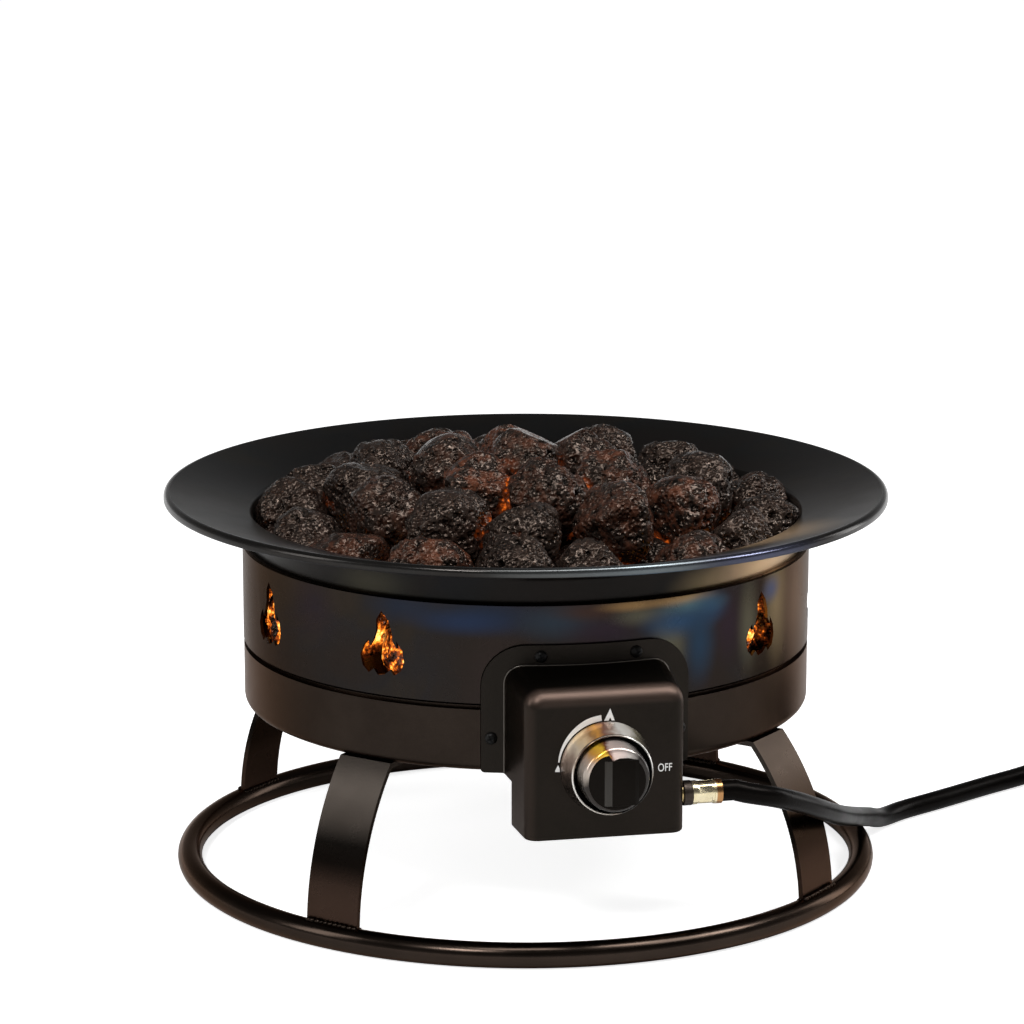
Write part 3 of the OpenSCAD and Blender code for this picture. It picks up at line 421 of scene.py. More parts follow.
shape = bmesh.new()
turned(shape, [(RING_R + TUBE_R * math.cos(math.radians(a)),
                TUBE_R + TUBE_R * math.sin(math.radians(a))) for a in range(0, 360, 15)], 180)
piece("floor_ring", shape, [ring_paint], node="base_ring")

shape = bmesh.new()
beads = random.Random(5)
for leg_turn in (-45, 45, 135, -135):
    for side_r, side_z in WELD_ROWS:
        for k in range(BEADS_A_SIDE):
            across = (k - BEADS_A_SIDE // 2) * BEAD_STEP + beads.uniform(-0.4, 0.4)
            size = beads.uniform(1.2, 1.8) * MM
            place = (Matrix.Rotation(math.radians(leg_turn), 4, "Z")
                     @ Matrix.Translation((across * MM, -side_r * MM, side_z * MM))
                     @ Matrix.Diagonal((1.25, 0.8, beads.uniform(0.7, 0.95), 1)))
            bmesh.ops.create_icosphere(shape, subdivisions=2, radius=size, matrix=place)
piece("foot_welds", shape, [frame_paint], crease=80)

# ---- Straps and pan
# Four straps of 38 mm flat steel, bowed outwards, are bolted under a shallow pressed pan with a
# rounded bottom edge. The straps' bronze carries a painted reflection: paler at the top, near
# black half way and brown below.
FOOT_Z, SHOULDER_Z = 10 * MM, 110 * MM


def painted(material):
    """A coat to paint over: its tree, shader, Object coordinates and colour so far."""
    tree = material.node_tree
    shader = tree.nodes["Principled BSDF"]
    return (tree, shader, lay(tree, "TexCoord").outputs["Object"],
            shader.inputs["Base Color"].links[0].from_socket)


strap_paint_and_reflection = coated("strap_paint_and_reflection", BRONZE_DARK, BRONZE_PALE, 0.26, metal=1, edge_tint=BRONZE)
tree, shader, where, _ = painted(strap_paint_and_reflection)
climb = ranged(tree, lay(tree, "SeparateXYZ", {0: where}).outputs["Z"], FOOT_Z, SHOULDER_Z)
# Painted reflection: the colour by height stands in for what the bowed straps reflect
feed(tree, shader, {"Base Color": shaded(tree, climb, [
    (0.06, (0.046, 0.0275, 0.0200)), (0.30, (0.038, 0.0235, 0.0175)),
    (0.43, (0.0090, 0.0068, 0.0055)), (0.55, (0.0045, 0.0038, 0.0032)),
    (0.68, (0.0200, 0.0165, 0.0140)), (0.86, (0.0370, 0.0310, 0.0265))])})
for corner in ("front_left", "front_right", "rear_right", "rear_left"):
    crisp("leg_" + corner, "strap_" + corner, strap_paint_and_reflection, 0.55, segments=3)
screw_black = coated("screw_black", (0.004, 0.0037, 0.0034), (0.010, 0.009, 0.008), 0.35, 0.14,
                     1500)
crisp("leg_screws", "strap_screws", screw_black, 0.3)
crisp("base_pan", "lower_pan", frame_paint, 0.5)

# ---- Bowl
# The bowl is pressed from 2 mm sheet and has eight cut-outs. Its dark satin paint has been
# heated, and shows blue, violet and straw blooms round the control box's corner and the neck.
bloom_mask, start, end = node_group(
    "bloom_mask", [("Vector", "Vector", None), ("Centre", "Vector", (0, 0, 0)),
                   ("Spread", "Vector", (1, 1, 1)), ("Warp", "Float", 0.35)],
    [("Mask", "Float")])
away = maths(bloom_mask, "SUBTRACT", start[0], start[1], "VectorMath")
away = maths(bloom_mask, "DIVIDE", away, start[2], "VectorMath")
wander = lay(bloom_mask, "TexNoise", {"Vector": start[0], "Scale": 22.0, "Detail": 3.0})
wander = maths(bloom_mask, "SUBTRACT", wander.outputs["Color"], (0.5, 0.5, 0.5), "VectorMath")
wander = lay(bloom_mask, "VectorMath", {0: wander, "Scale": start[3]}, operation="SCALE")
away = maths(bloom_mask, "ADD", away, wander.outputs[0], "VectorMath")
reach = lay(bloom_mask, "VectorMath", {0: away}, operation="LENGTH").outputs["Value"]
feed(bloom_mask, end, {0: ranged(bloom_mask, reach, 0.0, 1.2, 1.0, 0.0, smooth=True)})


def bloomed(name, dark, pale, rough, metal, blooms, round_tint=0.4, edge_tint=(1, 1, 1)):
    """A coat with blooms of heat colour and of painted highlight and reflection: (centre mm,
    spread mm, colour, strength) laid one on another.
    """
    made = coated(name, dark, pale, rough, 0.12, 1000, 0.06, metal, edge_tint, rub=9, wear=0.07)
    tree, shader, where, colour = painted(made)
    ramp_colours = shaded(tree, cloudy(tree, where, 11.0, 4.0, distortion=0.6), [
        (0.30, (0.025, 0.018, 0.0165)), (0.42, (0.021, 0.0165, 0.0145)),
        (0.50, (0.0185, 0.0168, 0.0165)), (0.57, (0.017, 0.0182, 0.0205)),
        (0.64, (0.026, 0.022, 0.017)), (0.74, (0.040, 0.029, 0.020))])
    colour = blend_colour(tree, round_tint, colour, ramp_colours)
    for centre, spread, shade, strength in blooms:
        bloom = lay(tree, "Group", {0: where, 1: [c * MM for c in centre],
                                    2: [s * MM for s in spread]}, node_tree=bloom_mask)
        share = maths(tree, "MULTIPLY", bloom.outputs[0], strength)
        colour = blend_colour(tree, share, colour, shade)
    feed(tree, shader, {"Base Color": colour})
    return made


WALL_R = 184.5


def on_wall(turn, height, radius=WALL_R):
    """A point of the bowl's wall in millimetres, turned so many degrees from its front."""
    return (radius * math.sin(math.radians(turn)), -radius * math.cos(math.radians(turn)), height)


NAVY, BLUE, TEAL = (0.015, 0.021, 0.036), (0.022, 0.048, 0.092), (0.065, 0.115, 0.125)
GOLD, STRAW, TAN = (0.26, 0.150, 0.060), (0.090, 0.084, 0.058), (0.135, 0.092, 0.066)
VIOLET, RUST = (0.024, 0.016, 0.024), (0.040, 0.022, 0.017)
bowl_enamel = bloomed("bowl_enamel", (0.0190, 0.0148, 0.0126), (0.0255, 0.0198, 0.0170), 0.25, 1, [
    (on_wall(-35, 214), (30, 40, 13), NAVY, 0.7), (on_wall(-19, 212), (42, 40, 14), NAVY, 0.9),
    (on_wall(-24, 207), (34, 40, 9), (0.017, 0.028, 0.060), 0.7),
    (on_wall(-6, 208), (28, 40, 14), (0.022, 0.034, 0.048), 0.7),
    (on_wall(3, 201), (30, 40, 13), VIOLET, 0.7), (on_wall(0, 214), (26, 40, 7), RUST, 0.8),
    (on_wall(11, 209), (24, 40, 8), STRAW, 0.6), (on_wall(9, 216), (26, 40, 4.5), GOLD, 0.6),
    (on_wall(20, 216), (24, 40, 5), GOLD, 0.85), (on_wall(17, 188), (15, 40, 22), STRAW, 0.75),
    (on_wall(31, 195), (15, 40, 30), VIOLET, 0.7), (on_wall(22, 211), (26, 40, 8), TEAL, 0.8),
    (on_wall(19, 202), (28, 40, 12), BLUE, 0.9), (on_wall(26, 209), (16, 40, 12), BLUE, 0.7),
    (on_wall(23.5, 186), (13, 40, 30), (0.018, 0.036, 0.062), 0.9),
    (on_wall(37, 192), (10, 30, 34), STRAW, 0.7),
    (on_wall(47, 198), (13, 30, 44), (0.17, 0.13, 0.075), 0.85),
    (on_wall(45, 209), (9, 30, 10), (0.040, 0.060, 0.120), 0.8),
    (on_wall(58, 196), (24, 50, 50), TAN, 0.8), (on_wall(-58, 205), (16, 40, 26), VIOLET, 0.4)],
    edge_tint=(0.62, 0.55, 0.51))
crisp("fire_bowl", "flame_bowl", bowl_enamel, 0.35)
crisp("bowl_screws", "ledge_screws", screw_black, 0.3)

# ---- Rim
# A spun steel rim drops into the bowl's mouth as a throat, flares out to 470 mm and ends in a
# rolled lip. Its paint is matter inside, where soot and heat have dulled it.
LIP_R, LIP_Z, NECK_R = 235, 251, 181
rim_enamel = bloomed("rim_enamel", (0.0050, 0.0047, 0.0042), (0.0080, 0.0072, 0.0064), 0.30, 0.6, [
    ((-150, -150, 252), (120, 120, 40), (0.012, 0.010, 0.014), 0.5),
    ((170, -60, 252), (120, 150, 60), (0.016, 0.011, 0.009), 0.6),
    # Painted highlight: two pale blue blooms on the lip's front
    (on_wall(9, 250, LIP_R), (46, 40, 8), (0.10, 0.135, 0.17), 0.85),
    (on_wall(25, 250, LIP_R), (52, 40, 8), (0.075, 0.075, 0.115), 0.8),
    (on_wall(-44, 226, NECK_R), (34, 30, 16), (0.05, 0.045, 0.03), 0.6),
    (on_wall(26, 220, NECK_R), (28, 40, 16), (0.13, 0.095, 0.05), 0.8),
    (on_wall(34, 224, NECK_R), (10, 40, 16), RUST, 0.8),
    # Painted reflection: the pale tan bloom lights the neck's shaded right under the flare
    (on_wall(46, 222, NECK_R), (60, 60, 40), (0.62, 0.42, 0.24), 1.0)], 0.25)
throat = [(177 + 4.8 * (1 - math.cos(math.radians(a))), 233 + 8 * math.sin(math.radians(a)))
          for a in range(0, 76, 5)]
lip = [(231.6 + 3.4 * math.sin(math.radians(a)), 250.6 + 3.4 * math.cos(math.radians(a)))
       for a in range(-20, 91, 10)]
rolled = [(235, 248.8), (234.6, 248.2), (233.9, 248.0), (233.2, 248.3), (232.9, 249.2),
          (232.4, 250.3), (231.0, 250.4)]
under = [(187.5, 238.9), (184, 237.8), (181.6, 235.8), (180.5, 232.5), (180.5, 207.5),
         (178.5, 207.5), (177.2, 209)]
# The lip's coat is paler and glossier, and its three blooms are a painted highlight line
lip_enamel = bloomed("lip_enamel", (0.022, 0.021, 0.020), (0.032, 0.030, 0.028), 0.17, 0.8, [
    (on_wall(-6, LIP_Z, LIP_R), (60, 40, 12), (0.09, 0.095, 0.095), 0.8),
    (on_wall(7, LIP_Z, LIP_R), (56, 40, 12), (0.13, 0.15, 0.16), 0.9),
    (on_wall(26, LIP_Z, LIP_R), (60, 40, 12), (0.07, 0.075, 0.115), 0.9)], 0.2)
shape = bmesh.new()
turned(shape, throat + lip + rolled + under, 240)
for part in shape.faces:
    middle = part.calc_center_median()
    if math.hypot(middle.x, middle.y) > (LIP_R - 4) * MM and middle.z > 249.2 * MM:
        part.material_index = 1
piece("flared_rim", shape, [rim_enamel, lip_enamel], node="rim_ring", crease=50)

# ---- Burner
# A ring burner of stainless tube with a cross tube and ports stands on four brackets over the
# bowl's floor, and a mixing tube with an air shutter leads to it from the valve.
burner_steel = bare_metal("burner_steel", (0.16, 0.12, 0.09), (0.42, 0.38, 0.34), 0.35, 40)
zinc_steel = bare_metal("zinc_steel", (0.42, 0.42, 0.40), (0.62, 0.61, 0.58), 0.28, 200)
for finish, slot, names in (
        (burner_steel, "burner_steel", ("burner_ring", "burner_brackets", "venturi_tube")),
        (zinc_steel, "zinc_steel", ("burner_screws", "riser_nut", "air_shutter"))):
    for name in names:
        crisp(name, "stainless_" + name, finish, 0.25)

# ---- Lava rock
# Seventy-nine loose pieces of porous lava rock, charcoal black with some rusty ones, heaped
# over the burner. Their colour holds painted light: paler ridges, near black pits, glints, a
# warm cast towards the middle, and a painted glow in crevices and behind the bowl's cut-outs.
lava_rock, tree, shader, where = surface("lava_rock")
rock_tint, pitted, painted_glow = (lay(tree, "Attribute", attribute_name=name).outputs["Fac"]
                            for name in ("rock_tint", "pitted", "painted_glow"))
mottle = cloudy(tree, where, 95.0, 8.0, 0.7)
# Rust on some rocks, and towards the middle of the heap a painted warm light
rust_and_warm_light = maths(tree, "MULTIPLY", ranged(tree, mottle, 0.45, 0.62), rock_tint)
# Painted light and shade: raised parts paler, pits near black
painted_ridge_light = ranged(tree, pitted, 0.62, 0.12)
colour = blend_colour(tree, painted_ridge_light, (0.0022, 0.0019, 0.0018), (0.0165, 0.0118, 0.0096))
colour = blend_colour(tree, rust_and_warm_light, colour, (0.088, 0.028, 0.014))
painted_pit_shade = ranged(tree, pitted, 0.52, 0.85, 0, 0.95)
colour = blend_colour(tree, painted_pit_shade, colour, (0.0010, 0.0009, 0.0009))
# Painted glints: fine warm specks
painted_glints = ranged(tree, cloudy(tree, where, 900.0), 0.65, 0.70, 0, 0.6)
colour = blend_colour(tree, painted_glints, colour, (0.16, 0.088, 0.058))
pores = lay(tree, "TexVoronoi", {"Vector": where, "Scale": 300.0})
pore_edge = ranged(tree, pores.outputs["Distance"], 0.1, 0.55)
rough = lay(tree, "TexNoise", {"Vector": where, "Scale": 310.0, "Detail": 3.0, "Roughness": 0.6},
            noise_type="RIDGED_MULTIFRACTAL")
roughen(tree, shader, maths(tree, "ADD", pore_edge, rough.outputs[0]), 0.9, 0.0014)
# Painted glow: the crevices and the rocks behind the cut-outs glow
flicker = ranged(tree, cloudy(tree, where, 70.0, 5.0, 0.65), 0.40, 0.64)
glow_share = maths(tree, "MULTIPLY", flicker, painted_glow)
glow_share = maths(tree, "MULTIPLY", glow_share, ranged(tree, pore_edge, 0, 1, 1.12, 0.72))
feed(tree, shader, {
    "Base Color": colour, "Roughness": ranged(tree, mottle, 0.35, 0.65, 0.10, 0.36),
    "Specular IOR Level": 0.34, "Specular Tint": (1.0, 0.76, 0.62, 1), "Emission Strength": 2.2,
    "Emission Color": shaded(tree, glow_share, [
        (0.16, (0, 0, 0)), (0.40, (0.035, 0.006, 0.001)), (0.56, (0.26, 0.045, 0.004)),
        (0.74, (0.9, 0.25, 0.02)), (0.95, (1.0, 0.62, 0.16))])})

# The CAD rocks are taken apart, and each is pressed out of a ball again with lumps and pits
loose = bmesh.new()
loose.from_mesh(cad_nodes["lava_rocks"].data)
bmesh.ops.remove_doubles(loose, verts=loose.verts, dist=2e-6)
rocks = []
waiting = set(loose.verts)
while waiting:
    group, front = [], [waiting.pop()]
    while front:
        vert = front.pop()
        group.append(vert)
        for edge in vert.link_edges:
            other = edge.other_vert(vert)
            if other in waiting:
                waiting.remove(other)
                front.append(other)
    group.sort(key=lambda v: v.index)
    number = {v: i for i, v in enumerate(group)}
    faces = {f for v in group for f in v.link_faces}
    skin = BVHTree.FromPolygons([v.co for v in group],
                                [[number[v] for v in f.verts] for f in faces])
    middle = sum((v.co for v in group), Vector()) / len(group)
    rocks.append((middle, skin, sum((v.co - middle).length for v in group) / len(group)))
rocks.sort(key=lambda r: (round(r[0].z, 4), round(math.atan2(r[0].y, r[0].x), 4)))
heap = BVHTree.FromBMesh(loose)
loose.free()

THROAT_SPACE, CHIPS, NEIGHBOURS, MOST_FACES = 178.2, 12, 8, 180000
CUT_TURNS = [side * turn for side in (1, -1) for turn in (41, 74, 107, 140)]
CUT_LOW, CUT_MIDDLE, CUT_TOP = 0.150, 0.192, 0.215


def seen_share(middle, radius):
    """How many of the upward directions leave a rock without meeting another."""
    free = 0
    for turn in range(0, 360, 30):
        for rise in (28, 55, 80):
            a, e = math.radians(turn), math.radians(rise)
            way = Vector((math.cos(a) * math.cos(e), math.sin(a) * math.cos(e), math.sin(e)))
            if heap.ray_cast(middle + way * (radius * 1.45), way, 0.3)[0] is None:
                free += 1
    return free


def pit(distance, size):
    """Depth of a pit, 1 at its middle and 0 from its edge on."""
    return 1 - (distance / size) ** 3 if distance < size else 0.0


def held(value, most=1.0):
    """A value kept between 0 and the most it may be."""
    return max(0.0, min(most, value))


def soften(shape):
    """Smooths a shape once."""
    bmesh.ops.smooth_vert(shape, verts=shape.verts, factor=0.5, use_axis_x=True, use_axis_y=True,
                          use_axis_z=True)


def join(shape, other):
    """Moves a bmesh into another."""
    scrap = bpy.data.meshes.new("scrap")
    other.to_mesh(scrap)
    other.free()
    shape.from_mesh(scrap)
    bpy.data.meshes.remove(scrap)


rock_rng = random.Random(12)
batches = []
for middle, skin, radius in rocks:
    free = seen_share(middle, radius)
    outer = math.hypot(middle.x, middle.y)
    ball = bmesh.new()
    bmesh.ops.create_icosphere(ball, subdivisions=3, radius=1)
    for vert in ball.verts:
        way = vert.co.normalized()
        hit = skin.ray_cast(middle, way)[0]
        vert.co = hit if hit else middle + way * radius
    soften(ball)
    bmesh.ops.subdivide_edges(ball, edges=ball.edges, cuts=3 if free >= 2 or outer > 0.14 else 1,
                              use_grid_fill=True)
    soften(ball)
    soften(ball)
    ball.normal_update()
    tint_layer = ball.verts.layers.float.new("rock_tint")
    pit_layer = ball.verts.layers.float.new("pitted")
    painted_glow_layer = ball.verts.layers.float.new("painted_glow")
    # Rust is picked at random; what is added towards the middle is a painted warm light
    tint = rock_rng.choice((0.05, 0.1, 0.15, 0.3, 0.6, 1.0)) + max(0.0, 0.5 - outer / 0.2)
    chips = []
    for _ in range(CHIPS):
        way = Vector((rock_rng.gauss(0, 1), rock_rng.gauss(0, 1), rock_rng.gauss(0, 1)))
        chips.append((way.normalized(), radius * rock_rng.uniform(0.62, 0.93)))
    near = sorted(rocks, key=lambda r: (r[0] - middle).length)[1:NEIGHBOURS + 1]
    moves = []
    for vert in ball.verts:
        p = vert.co
        lump = noise.noise(p * 44)
        knob = noise.noise(p * 115 + Vector((9, 3, 1)))
        ridge = 1 - 2.6 * abs(noise.noise(p * 210 + Vector((2, 8, 5))))
        grit = 1 - 2.6 * abs(noise.noise(p * 430))
        big = pit(noise.voronoi(p * 110)[0][0], 0.40)
        small = pit(noise.voronoi(p * 270 + Vector((4, 0, 7)))[0][0], 0.44)
        chipped = max([0.0] + [(p - middle).dot(way) - far for way, far in chips])
        depth = (1.9 + 3.4 * lump + 2.6 * knob + 0.8 * ridge + 0.55 * grit
                 - 3.0 * big - 1.6 * small)
        out = math.hypot(p.x, p.y)
        rim_space = THROAT_SPACE - out / MM
        depth = min(depth, 2.6 if p.z < 0.27 else 0.8, max(rim_space, 0) * 0.8 + 0.2)
        moves.append(p + vert.normal * (depth * MM) - (p - middle).normalized() * (0.95 * chipped))
        vert[tint_layer] = tint
        vert[pit_layer] = held(0.34 - 0.34 * ridge - 0.2 * grit + 0.5 * big + 0.42 * small)
        # Painted glow, strongest in crevices towards the middle and behind the cut-outs
        gap = min((p - other[0]).length - other[2] for other in near)
        crevice = held(1 - (gap + 0.002) / 0.011)
        centre_glow = held((0.165 - out) / 0.07)
        if out > 0.125 and CUT_LOW < p.z < CUT_TOP:
            turn = math.degrees(math.atan2(p.x, -p.y))
            for cut in CUT_TURNS:
                near_cut = held((17 - abs(turn - cut)) / 6)
                if near_cut:
                    centre_glow = 1.3
                    crevice = max(crevice, near_cut * (1.05 - abs(CUT_MIDDLE - p.z) * 12))
        vert[painted_glow_layer] = held(crevice * centre_glow * 1.05, 1.3)
    for vert, place in zip(ball.verts, moves):
        vert.co = place
    if not batches or batches[-1][1] + len(ball.faces) > MOST_FACES:
        batches.append([bmesh.new(), 0])
    batches[-1][1] += len(ball.faces)
    join(batches[-1][0], ball)
for number, (shape, _) in enumerate(batches, 1):
    piece("lava_rocks_%d" % number, shape, [lava_rock], node="lava_rocks", crease=80)

# ---- Mounting plate
# A steel plate curved to the bowl's wall, with rounded upper corners, holds the box by four
# black pan-head screws with crossed recesses.
PLATE_R = 186.85
HEAD = [(0, 2.6), (1.6, 2.45), (2.8, 1.9), (3.6, 1.1), (3.95, 0.4), (4.0, 0), (2, 0), (2, -9),
        (0, -9)]
plate_paint = coated("plate_paint", (0.0150, 0.0128, 0.0108), (0.0205, 0.0172, 0.0145), 0.34,
                     grain=1100, metal=1, edge_tint=(0.60, 0.56, 0.52))
crisp("mounting_plate", "curved_plate", plate_paint, 0.4)
shape = bmesh.new()
for side in (-1, 1):
    for turn, height in ((18.6, 135.5), (9.2, 187.5)):
        head = bmesh.new()
        turned(head, HEAD, 24, closed=False)
        # Painted shade: each crossed recess is two thin dark boxes set into the head, not a cut
        for slot_turn in (20, 110):
            recess = bmesh.ops.create_cube(head, size=1, matrix=(
                Matrix.Translation((0, 0, 2.2 * MM))
                @ Matrix.Rotation(math.radians(slot_turn), 4, "Z")
                @ Matrix.Diagonal((4.2 * MM, 0.9 * MM, 0.9 * MM, 1))))
            for vert in recess["verts"]:
                for part in vert.link_faces:
                    part.material_index = 1
        bmesh.ops.transform(head, verts=head.verts, matrix=(
            Matrix.Rotation(math.radians(side * turn), 4, "Z")
            @ Matrix.Translation((0, -(PLATE_R + 0.1) * MM, height * MM))
            @ Matrix.Rotation(math.radians(90), 4, "X")))
        join(shape, head)
recess_painted_shade = coated("recess_painted_shade", (0.002,) * 3, (0.004,) * 3, 0.7, 0.1, 2000)
piece("plate_screw_heads", shape, [screw_black, recess_painted_shade], node="plate_screws")

# ---- Control box
# Pressed from 2 mm sheet with an 8 mm radius round its face, the box flares a little towards the
# bowl. A white print round the knob shows low, high and OFF.
FACE_Y, BOX_LOW, BOX_TOP, WALL_Y = -233 * MM, 85 * MM, 177 * MM, -180 * MM
HALF_W, LEDGE_Z, REAR_Y = 49 * MM, 113.5 * MM, -198 * MM
FLARE_DEPTH, SIDE_FLARE, TOP_FLARE = 48.5 * MM, 3 / 49, 5 * MM
HAIR, NEAR = 1e-6, 1e-5
box_paint = coated("box_paint", (0.0115, 0.0094, 0.0074), (0.0160, 0.0126, 0.0102), 0.29,
                   grain=1100, metal=0.85, edge_tint=(0.80, 0.72, 0.68))
tree, shader, where, sprayed = painted(box_paint)
place = lay(tree, "SeparateXYZ", {0: where}).outputs
# Painted highlight: paler, duller paint on the top fillet's front, and faintly on the left one
above = ranged(tree, place["Z"], 167 * MM, 175 * MM, smooth=True)
beside = ranged(tree, place["X"], -42 * MM, -47 * MM, 0, 0.14, smooth=True)
ahead = ranged(tree, place["Y"], -220 * MM, -227 * MM, smooth=True)
lightened = maths(tree, "MULTIPLY", maths(tree, "MAXIMUM", above, beside), ahead)
worn = shader.inputs["Roughness"].links[0].from_socket
feed(tree, shader, {
    "Base Color": blend_colour(tree, lightened, sprayed, (0.096, 0.066, 0.053)),
    "Roughness": maths(tree, "ADD", worn, maths(tree, "MULTIPLY", lightened, 0.14))})


def pulled_out(shape, outline, pull):
    """Makes a closed outline into a solid by pulling it along."""
    face = bmesh.ops.contextual_create(
        shape, geom=[shape.verts.new(point) for point in outline])["faces"][0]
    pulled = bmesh.ops.extrude_face_region(shape, geom=[face])["geom"]
    bmesh.ops.translate(shape, vec=pull,
                        verts=[v for v in pulled if isinstance(v, bmesh.types.BMVert)])
    bmesh.ops.recalc_face_normals(shape, faces=shape.faces)


def edges_where(shape, test):
    """Edges whose two ends both pass a test."""
    return [e for e in shape.edges if all(test(v.co) for v in e.verts)]


def rounded_off(shape, edges, radius, segments):
    """Rounds edges by a radius in millimetres."""
    bmesh.ops.bevel(shape, geom=edges, offset=radius * MM, segments=segments, profile=0.5,
                    affect="EDGES", material=-1, offset_type="OFFSET", clamp_overlap=True)


shape = bmesh.new()
pulled_out(shape, [(-HALF_W, y, z) for y, z in (
    (FACE_Y, BOX_LOW), (FACE_Y, BOX_TOP), (WALL_Y, BOX_TOP), (WALL_Y, LEDGE_Z),
    (REAR_Y, LEDGE_Z), (REAR_Y, BOX_LOW))], (2 * HALF_W, 0, 0))
rounded_off(shape, [e for e in edges_where(shape, lambda c: c.z > BOX_TOP - HAIR)
                    if abs(e.verts[0].co.x - e.verts[1].co.x) < HAIR], 11, 8)
rounded_off(shape, [e for e in edges_where(shape, lambda c: c.y < FACE_Y + HAIR)
                    if not all(v.co.z < BOX_LOW + HAIR for v in e.verts)], 8, 8)
rounded_off(shape, edges_where(shape, lambda c: c.z < BOX_LOW + HAIR), 1.5, 3)
for cut in range(-40, 41, 10):
    bmesh.ops.bisect_plane(shape, geom=shape.verts[:] + shape.edges[:] + shape.faces[:],
                           dist=HAIR, plane_co=(cut * MM, 0, 0), plane_no=(1, 0, 0))
seam = []
for vert in shape.verts:
    back = (vert.co.y - FACE_Y) / FLARE_DEPTH
    at_wall = vert.co.y > WALL_Y - NEAR
    up = (vert.co.z - BOX_LOW) / (BOX_TOP - BOX_LOW)
    vert.co.x *= 1 + SIDE_FLARE * min(back, 1)
    vert.co.z += TOP_FLARE * held(back) * up if vert.co.z > LEDGE_Z + NEAR else 0
    if at_wall:
        vert.co.y = -math.sqrt((PLATE_R * MM) ** 2 - vert.co.x ** 2)
        if vert.co.z > LEDGE_Z + MM or abs(vert.co.x) > 47 * MM:
            seam.append(vert.co + Vector((0, -0.5 * MM, 0)))
piece("control_box_shell", shape, [box_paint], node="control_box", crease=30)

# The box's folded edge is a thin tube against the plate, pale as a painted highlight
fold_highlight = coated("fold_highlight", (0.095, 0.086, 0.076), (0.140, 0.126, 0.110), 0.3, metal=1)
seam.sort(key=lambda c: math.atan2(c.x, c.z - 140 * MM))
box_fold = drawn_out("box_fold", seam, 0.55 * MM, 3, fold_highlight)
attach(box_fold, "frame")

# The print is a widening arc, a mark for high over it, a mark for low at its start, and OFF
PRINT_Y, KNOB_Z = FACE_Y - 0.06 * MM, 129.5 * MM
ARC_START, ARC_TURN, ARC_INNER, ARC_OUTER = 0.16, 75, 29.4, 30.3
dial_white = coated("dial_white", (0.72, 0.71, 0.69), (0.8, 0.79, 0.77), 0.45, 0.3, 1800, 0.1)
shape = bmesh.new()
first = [shape.verts.new((-r * MM * math.cos(ARC_START), PRINT_Y,
                          KNOB_Z + r * MM * math.sin(ARC_START))) for r in (ARC_INNER, ARC_OUTER)]
bmesh.ops.spin(shape, geom=first + [shape.edges.new(first)], cent=(0, PRINT_Y, KNOB_Z),
               axis=(0, 1, 0), dvec=(0, 0, 0), angle=math.radians(ARC_TURN), steps=36,
               use_merge=False, use_duplicate=False)
for vert in shape.verts:
    arm = Vector((vert.co.x, 0, vert.co.z - KNOB_Z))
    turned_by = math.degrees(math.atan2(vert.co.z - KNOB_Z, -vert.co.x))
    if arm.length > 29.9 * MM:
        longer = arm.normalized() * (30.1 + 2.9 * held((turned_by - 8) / 60) ** 0.9) * MM
        vert.co.x, vert.co.z = longer.x, KNOB_Z + longer.z
for outline in ([(-1.6, 158.6), (1.2, 158.6), (2.1, 160.6), (2.2, 166.2)],
                [(2.2, 166.2), (2.1, 160.6), (3.2, 158.6), (5.0, 158.6)],
                [(-31.8, 128.4), (-28.8, 128.2), (-28.9, 130.2), (-29.8, 132.6), (-31.2, 130.4)]):
    bmesh.ops.contextual_create(shape, geom=[shape.verts.new((x * MM, PRINT_Y, z * MM))
                                             for x, z in outline])
lettering = bpy.data.curves.new("off_mark", "FONT")
lettering.body = "OFF"
lettering.size = 7.6 * MM
lettering.offset = 0.06 * MM
lettering.space_character = 1.02
letters = placed("off_mark", lettering)
scrap = bpy.data.meshes.new_from_object(letters)
bpy.data.objects.remove(letters)
wide = max(v.co.x for v in scrap.vertices) - min(v.co.x for v in scrap.vertices)
tall = max(v.co.y for v in scrap.vertices)
scrap.transform(Matrix.Translation((31.9 * MM, PRINT_Y, 124.9 * MM))
                @ Matrix.Rotation(math.radians(90), 4, "X")
                @ Matrix.Diagonal((8.8 * MM / wide, 4.9 * MM / tall, 1, 1)))
shape.from_mesh(scrap)
bpy.data.meshes.remove(scrap)
for part in shape.faces:
    if part.normal.y > 0:
        part.normal_flip()
dial = bpy.data.meshes.new("dial_print")
shape.to_mesh(dial)
shape.free()
dial.materials.append(dial_white)
dial_print = placed("dial_print", dial)
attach(dial_print, "frame")

# ---- Gas valve
# A cast brass valve hangs behind the box's face on two screws. Its jet points into the mixing
# tube, and its stem carries a sliding collar on a light spring.
cast_brass = bare_metal("cast_brass", (0.34, 0.26, 0.12), (0.5, 0.41, 0.22), 0.42, 300, 0.3)
for name, finish, slot, body in (
        ("valve_body", cast_brass, "cast_brass", "frame"),
        ("valve_screws", zinc_steel, "zinc_steel", "frame"),
        ("orifice_jet", turned_brass, "brass", "frame"),
        ("inlet_elbow", turned_brass, "brass", "frame"),
        ("inlet_nut", zinc_steel, "zinc_steel", "frame"),
        ("push_collar", turned_brass, "brass", "push_carrier"),
        ("valve_stem", zinc_steel, "zinc_steel", "knob")):
    crisp(name, "fitted_" + name, finish, 0.2, body)
SPRING_FIXED, SPRING_FREE, SPRING_TURNS, TURN_STEPS = -221.45, -226.55, 3, 24
SPRING_R, WIRE_R, WIRE_SIDES, KNOB_TRAVEL = 4.85, 0.45, 10, 2.5
shape = bmesh.new()
rounds = []
